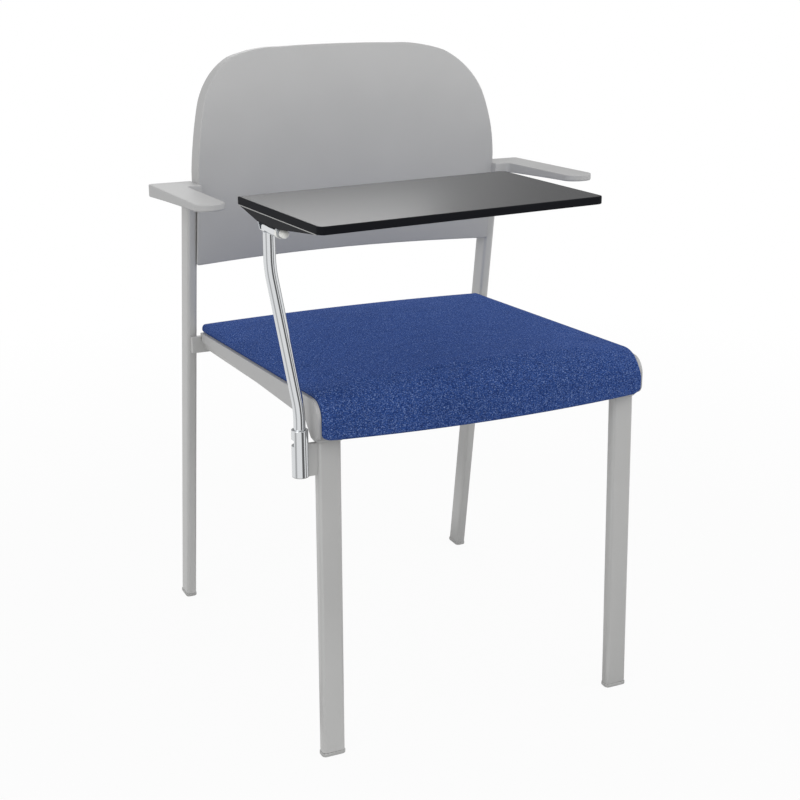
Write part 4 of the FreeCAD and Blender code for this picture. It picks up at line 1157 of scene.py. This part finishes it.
@dataclass
class Arms(Assembly):
    """Two moulded arm pads, L-shaped in plan, thinner towards the front and rounded on every edge."""

    outer_x: float = 287.4
    inner_x: float = 247.0
    leg_x: float = 225.8
    front_y: float = 219.0
    rear_y: float = 447.0
    step_y: float = 397.0
    outer_round: float = 6.0
    front_round: float = 18.5
    step_round: float = 9.0
    leg_round: float = 1.2
    front_top: float = 666.0
    rear_top: float = 657.0
    front_depth: float = 9.0
    rear_depth: float = 18.0
    under_bow: float = 3.6
    past_ends: float = 10.0
    top_round: float = 1.8
    low_round: float = 2.2
    centre: Pair = (262.0, 424.0)
    steps: int = 8
    lid_share: float = 0.97
    wall_shares: Shares = (0.1, 0.9)

    def forward(self, flat: Array) -> Array:
        """Share of the way from just behind the arm to just in front of it."""
        run = self.rear_y - self.front_y + 2 * self.past_ends
        return (self.rear_y + self.past_ends - flat[..., 1]) / run

    def top(self, flat: Array) -> Array:
        """Height of the top, a plane that rises forwards."""
        return self.rear_top + (self.front_top - self.rear_top) * self.forward(flat)

    def under(self, flat: Array) -> Array:
        """Height of the underside: the top less an even change of depth, bowed up by a parabola.

        Args:
            flat: Places (x, y).

        Returns:
            The height at each place.
        """
        share = self.forward(flat)
        plain = self.rear_depth + (self.front_depth - self.rear_depth) * share
        return self.top(flat) - plain + self.under_bow * share * (1 - share)

    def arm(self, side: Side) -> None:
        """Builds an arm: rings of its plan from the middle of the top, over the edge, down and under.

        Args:
            side: The arm's side.
        """
        corners = [
            (self.outer_x, self.rear_y, self.outer_round),
            (self.outer_x, self.front_y, self.front_round),
            (self.inner_x, self.front_y, self.front_round),
            (self.inner_x, self.step_y, self.step_round),
            (self.leg_x, self.step_y, self.leg_round),
            (self.leg_x, self.rear_y, self.leg_round),
        ]
        plan = rounded_corners(corners, self.steps)
        top_in, top_drop = edge_round(self.top_round)
        low_in, low_drop = edge_round(self.low_round)
        share = np.array(self.wall_shares)[:, None]
        upper = rings(plan, top_in)
        wall = rings(plan, np.zeros(len(share)))
        lower = rings(plan, low_in[::-1])
        lid = filled(upper[0], self.centre, np.linspace(0, self.lid_share, self.steps))
        floor = filled(lower[-1], self.centre, np.linspace(self.lid_share, 0, self.steps))
        wall_z = (self.top(wall) - self.top_round) * (1 - share)
        wall_z = wall_z + (self.under(wall) + self.low_round) * share
        stations = [
            (lid, self.top(lid)),
            (upper, self.top(upper) - top_drop[:, None]),
            (wall, wall_z),
            (lower, self.under(lower) + low_drop[::-1][:, None]),
            (floor, self.under(floor)),
        ]
        grid = np.concatenate([joined(side.value * flat[..., 0], flat[..., 1], z) for flat, z in stations])
        arm = grid_piece(f"arm_pad_{side.word}", grid)
        self.settle(arm, Slot.MOULDING, Body.CHAIR, f"arm_{side.word}")

    def build(self) -> None:
        """Builds both arms and dresses their screws."""
        for side in Side:
            self.arm(side)
        self.dress(Slot.SCREWS, "arm_screws")


@dataclass
class TabletArm(Assembly):
    """Chromed swivel socket and bent stem that carry the tablet's hinge."""

    socket_x: float = -241.0
    socket_y: float = 5.0
    stem_radius: float = 7.0
    stem_low_z: float = 384.3
    bend_low_z: float = 458.6
    bend_high_z: float = 631.3
    stem_top_z: float = 672.0
    offset: float = 32.0
    bend_radius: float = 150.0
    bend_steps: int = 31
    rest_degrees: float = 4.9
    socket_radius: float = 10.0
    socket_low_z: float = 377.0
    socket_top_z: float = 435.0
    socket_low_round: float = 0.5
    socket_top_round: float = 0.8
    slot_z: Pair = (415.4, 423.4)
    slot_degrees: Pair = (-28.0, 200.0)
    sharp: float = 0.01
    running_gap: float = 0.05
    ring_steps: int = 65
    hinge_z: float = 676.0
    barrel_radius: float = 6.0
    barrel_front: float = 27.0
    barrel_rear: float = 7.5
    barrel_round: float = 0.6
    pin_radius: float = 3.0
    dog_length: float = 4.0
    dog_degrees: Pair = (200.0, 310.0)
    dog_round: float = 0.2
    plate_round: float = 0.8

    def ring(self, radii: Pair, heights: Pair, edges: Pair, degrees: Pair | None = None) -> Array:
        """A turned ring, or a part of one, about the Z axis.

        Its section, a rectangle with rounded corners, is carried round a circle: each point is
        (r cos a, r sin a, z).

        Args:
            radii: Radius of the bore, and outside radius.
            heights: Lowest and highest height.
            edges: Radius of the section's low corners and of its high ones.
            degrees: First and last angle of a part ring; none for a whole ring.

        Returns:
            Points with shape (steps, section, 3).
        """
        inner, outer = radii
        low, high = heights
        foot, head = edges
        corners = [(inner, low, foot), (outer, low, foot), (outer, high, head), (inner, high, head)]
        r, z = rounded_corners(corners, run_steps=1).T
        first, last = degrees or (0.0, 360.0)
        turn = np.radians(np.linspace(first, last, self.ring_steps))[:, None]
        grid = joined(r * np.cos(turn), r * np.sin(turn), z)
        return capped(grid) if degrees else grid

    def socket(self) -> None:
        """Builds the socket: a ring below the stop slot, a ring above it, and the bridge between them."""
        radii = (self.stem_radius + self.running_gap, self.socket_radius)
        low, high = self.slot_z
        first, last = (angle + self.rest_degrees for angle in self.slot_degrees)
        parts = [
            self.ring(radii, (self.socket_low_z, low), (self.socket_low_round, self.sharp)),
            self.ring(radii, (high, self.socket_top_z), (self.sharp, self.socket_top_round)),
            self.ring(radii, self.slot_z, (self.sharp, self.sharp), (last, first + 360)),
        ]
        spot = np.array([self.socket_x, self.socket_y, 0.0])
        socket = grid_piece("swivel_socket", *(part + spot for part in parts))
        self.settle(socket, Slot.CHROME, Body.CHAIR, "tablet_socket")

    def barrel(self) -> None:
        """Builds the barrel across the stem's top with a stop dog on its rear end: rings laid along Y."""
        radii = (self.pin_radius + self.running_gap, self.barrel_radius)
        rear = self.barrel_rear
        rounds = (self.barrel_round, self.barrel_round)
        dog_rounds = (self.dog_round, self.dog_round)
        parts = [
            self.ring(radii, (-self.barrel_front, rear), rounds),
            self.ring(radii, (rear, rear + self.dog_length), dog_rounds, self.dog_degrees),
        ]
        spot = np.array([self.socket_x - self.offset, self.socket_y, self.hinge_z])
        laid = [self.swivelled(part[..., [0, 2, 1]] + spot) for part in parts]
        self.settle(grid_piece("hinge_barrel_tube", *laid), Slot.CHROME, Body.ARM, "hinge_barrel")

    def swivelled(self, points: Array) -> Array:
        """Turns points about the socket's axis from square to the chair to the place at rest.

        Args:
            points: Points in the drawing frame.

        Returns:
            The turned points.
        """
        turn = math.radians(self.rest_degrees)
        c, s = math.cos(turn), math.sin(turn)
        spin = np.array([[c, -s, 0], [s, c, 0], [0, 0, 1]])
        axis = np.array([self.socket_x, self.socket_y, 0.0])
        return (points - axis) @ spin.T + axis

    def build(self) -> None:
        """Builds the stem, a circle carried along its bent path, then the socket and barrel."""
        top_x = self.socket_x - self.offset
        corners = [
            (self.socket_x, self.socket_y, self.stem_low_z),
            (self.socket_x, self.socket_y, self.bend_low_z),
            (top_x, self.socket_y, self.bend_high_z),
            (top_x, self.socket_y, self.stem_top_z),
        ]
        path = bent_line(corners, self.bend_radius, self.bend_steps)
        tube = capped(carried(circle(self.stem_radius), path, (0.0, 1.0, 0.0)))
        stem = grid_piece("bent_stem", self.swivelled(tube))
        self.settle(stem, Slot.CHROME, Body.ARM, "tablet_stem")
        self.socket()
        self.barrel()
        self.soften("socket_plate", self.plate_round, Slot.FRAME)
        self.dress(Slot.GLIDE, "socket_plug")
        self.dress(Slot.NYLON, "stem_foot")
        self.dress(Slot.SCREWS, "swivel_stop_pin")


@dataclass
class Tablet(Assembly):
    """Edge-banded writing tablet with its tilt hinge and cover."""

    arm: TabletArm
    left_x: float = -286.0
    right_x: float = 74.0
    front_y: float = -145.2
    rear_y: float = 59.8
    top_z: float = 704.0
    thick: float = 9.0
    corner: float = 8.0
    sharp_corner: float = 2.5
    run_steps: int = 16
    lid_steps: int = 12
    band: float = 2.0
    band_lap: float = 0.2
    band_round: float = 1.1
    band_inner_round: float = 0.1
    band_steps: int = 2
    # Size and place of the pale strip along the board's left edge, which is painted light: a highlight, not
    # a part.
    highlight_radius: float = 0.5
    highlight_proud: float = 0.2
    highlight_steps: int = 12
    cover_round: float = 0.9

    def laid(self, flat: Array, height: Array | float) -> Array:
        """Points of the plan at a height, turned to the tablet's place at rest."""
        return self.arm.swivelled(joined(flat[..., 0], flat[..., 1], height))

    def board(self) -> None:
        """Builds the laminated board and the band round its edge.

        The board is rings of its plan, from the middle of the top out to the band, down, and in again below.
        The band is a narrow rounded section carried round the plan.
        """
        corners = [
            (self.right_x, self.rear_y, self.corner),
            (self.left_x, self.rear_y, self.sharp_corner),
            (self.left_x, self.front_y, self.corner),
            (self.right_x, self.front_y, self.corner),
        ]
        plan = rounded_corners(corners, self.run_steps)
        low_z = self.top_z - self.thick
        centre = ((self.left_x + self.right_x) / 2, (self.front_y + self.rear_y) / 2)
        core = rings(plan, np.array([self.band - self.band_lap]))[0]
        lid = filled(core, centre, np.linspace(0, 1, self.lid_steps))
        slab = np.concatenate([self.laid(lid, self.top_z), self.laid(lid[::-1], low_z)])
        panel = grid_piece("laminated_board", slab)
        self.settle(panel, Slot.BOARD, Body.TABLET, "tablet_board")
        section_corners = [
            (0, low_z, self.band_round),
            (self.band, low_z, self.band_inner_round),
            (self.band, self.top_z, self.band_inner_round),
            (0, self.top_z, self.band_round),
        ]
        inset, height = rounded_corners(section_corners, self.band_steps).T
        edging = grid_piece("edge_band", self.laid(rings(plan, inset), height[:, None]), wrap_rows=True)
        self.settle(edging, Slot.BOARD, Body.TABLET, "tablet_board", material=self.finishes.edging)

    def highlight_strip(self) -> None:
        """Builds a painted highlight: a thin pale strip between board and cover, a circle run along the
        board's left edge, that stands for the light caught by the joint's rounded edge.
        """
        x, z = circle(self.highlight_radius, self.highlight_steps).T
        y = np.array([self.front_y + self.corner, self.rear_y - 2 * self.sharp_corner])[:, None]
        grid = joined(self.left_x - self.highlight_proud + self.highlight_radius + x, y, self.top_z - self.thick + z)
        # The strip's pale grey paints the highlight that the joint's rounded edge catches.
        highlight_strip = grid_piece("painted_highlight_strip", capped(self.arm.swivelled(grid)))
        self.settle(highlight_strip, Slot.GLIDE, Body.TABLET, "hinge_cover")

    def build(self) -> None:
        """Builds the board, the pale strip of painted highlight and the cover, and dresses the hinge."""
        self.board()
        self.highlight_strip()
        self.soften("hinge_cover", self.cover_round, Slot.BLACK_MOULDING, Body.TABLET)
        self.dress(Slot.NYLON, "pin_caps", "hinge_washer")
        self.dress(Slot.SCREWS, "tilt_pin", "board_screws", "hinge_bracket")


@dataclass
class Studio:
    """Pale floor, white surround, soft lamps, and a camera where the photographer stood.

    Each dark screen is its first and last bearing as shares of a turn, its level, and the width of its soft
    edge. Each lamp is its place, its width in metres, and its watts.
    """

    camera_mm: Point = (-811.8, -1505.4, 996.2)
    right: Point = (0.9064, -0.4225, 0.0)
    up: Point = (0.1295, 0.2778, 0.9518)
    lens: float = 65.8
    sensor: float = 36.0
    shift: Pair = (-0.004, -0.0069)
    floor_half: float = 12.0
    floor_colour: str = "#C2C2C2"
    floor_roughness: float = 0.9
    near_white: float = 0.94
    shadow_reach: Pair = (0.8, 2.0)
    surround: float = 0.84
    dark_screens: tuple[tuple[float, float, float, float], ...] = (
        (0.02, 0.07, 0.55, 0.012),
        (0.235, 0.305, 0.14, 0.012),
        (0.36, 0.40, 0.2, 0.012),
        (0.565, 0.665, 0.32, 0.03),
        (0.74, 0.78, 0.3, 0.02),
    )
    aim: Point = (0.0, 0.0, 0.5)
    lamps: tuple[tuple[Point, float, float], ...] = (
        ((0.2, -2.7, 2.6), 2.4, 20.0),
        ((2.6, -1.4, 2.2), 2.0, 22.0),
        ((-2.6, -1.3, 1.9), 2.0, 24.0),
        ((0.5, 2.3, 1.8), 1.3, 7.0),
    )

    def camera(self) -> None:
        """Places the camera from its measured right and up vectors."""
        data = bpy.data.cameras.new("camera")
        data.lens = self.lens
        data.sensor_width = self.sensor
        data.shift_x, data.shift_y = self.shift
        eye = linked("camera", data)
        right, up = Vector(self.right).normalized(), Vector(self.up).normalized()
        turn = Matrix((right, up, right.cross(up))).transposed().to_4x4()
        eye.matrix_world = Matrix.Translation(Vector(place(np.array(self.camera_mm)))) @ turn
        bpy.context.scene.camera = eye

    def screens(self, nodes: Nodes, direction: Socket) -> Socket:
        """White all round, but for the dark screens that stand about the chair and show in bright metal.

        Args:
            nodes: The nodes of the world or the floor.
            direction: Socket with a direction or a place about the chair.

        Returns:
            Socket with the brightness, 1 but for the screens.
        """
        bearing = nodes.add("TexGradient", {"Vector": direction}, gradient_type="RADIAL")
        ramp = nodes.add("ValToRGB", {"Fac": bearing.outputs["Fac"]})
        stops = ramp.color_ramp.elements
        stops[0].position, stops[1].position = 0.0, 1.0
        stops[0].color = stops[1].color = grey(1.0)
        for start, end, level, soft in self.dark_screens:
            for where, shade in ((start - soft, 1.0), (start, level), (end, level), (end + soft, 1.0)):
                stops.new(where).color = grey(shade)
        return ramp.outputs["Color"]

    def world(self) -> None:
        """White to the camera, with dark screens in reflections, and a softer even light on surfaces."""
        world = bpy.data.worlds.new("surround")
        world.use_nodes = True
        bpy.context.scene.world = world
        nodes = Nodes(world.node_tree)
        nodes.tree.nodes.clear()
        rays = nodes.add("LightPath").outputs
        screens = self.screens(nodes, nodes.where("Generated"))
        mirrored = nodes.mix(rays["Is Glossy Ray"], grey(self.surround), screens)
        straight_on = nodes.combine("MAXIMUM", rays["Is Camera Ray"], rays["Is Transmission Ray"])
        shown = nodes.mix(straight_on, mirrored, grey(1.0))
        light = nodes.add("Background", {"Color": shown, "Strength": 1.0})
        nodes.add("OutputWorld", {"Surface": light.outputs["Background"]})

    def floor(self) -> None:
        """Pale floor that shows white to the camera, more so away from the chair, with a faint shadow."""
        h = self.floor_half
        mesh = bpy.data.meshes.new("floor")
        mesh.from_pydata([(-h, -h, 0), (h, -h, 0), (h, h, 0), (-h, h, 0)], [], [(0, 1, 2, 3)])
        floor = linked("floor", mesh)
        look = {
            "Base Color": linear(self.floor_colour),
            "Roughness": self.floor_roughness,
            "Specular IOR Level": 0.0,
        }
        material, nodes, shader = new_material("pale_studio_floor", look)
        rays = nodes.add("LightPath").outputs
        spot = nodes.where()
        tone = nodes.mix(rays["Is Glossy Ray"], grey(1.0), self.screens(nodes, spot))
        glow = nodes.add("Emission", {"Color": tone, "Strength": 1.0}).outputs["Emission"]
        seen = nodes.combine("MAXIMUM", rays["Is Camera Ray"], rays["Is Glossy Ray"])
        away = nodes.add("VectorMath", {0: spot}, operation="LENGTH").outputs["Value"]
        whiten = nodes.spread(away, self.near_white, 1.0, *self.shadow_reach)
        share = nodes.combine("MULTIPLY", seen, whiten)
        mixed = nodes.add("MixShader", {"Fac": share, 1: shader.outputs["BSDF"], 2: glow})
        nodes.feed(nodes.tree.nodes["Material Output"], {"Surface": mixed.outputs["Shader"]})
        mesh.materials.append(material)

    def light(self) -> None:
        """Soft square lamps that all face the chair."""
        for number, (spot, size, watts) in enumerate(self.lamps):
            data = bpy.data.lights.new(f"lamp_{number}", "AREA")
            data.size = size
            data.energy = watts
            lamp = linked(f"lamp_{number}", data)
            lamp.location = spot
            lamp.rotation_euler = (Vector(self.aim) - Vector(spot)).to_track_quat("-Z", "Y").to_euler()

    def build(self) -> None:
        """Sets up the whole studio."""
        bpy.context.scene.view_settings.view_transform = "Standard"
        self.camera()
        self.world()
        self.floor()
        self.light()


def main() -> None:
    """Builds the chair's sub-assemblies in order, then the studio."""
    logging.basicConfig(level=logging.INFO, format="%(message)s")
    finishes = Finishes()
    swivel = TabletArm(finishes)
    for assembly in (
        SteelFrame(finishes),
        Seat(finishes),
        Backrest(finishes),
        Arms(finishes),
        swivel,
        Tablet(finishes, swivel),
        Studio(),
    ):
        assembly.build()
        LOG.info("finished %s", type(assembly).__name__)


if __name__ == "__main__":
    main()
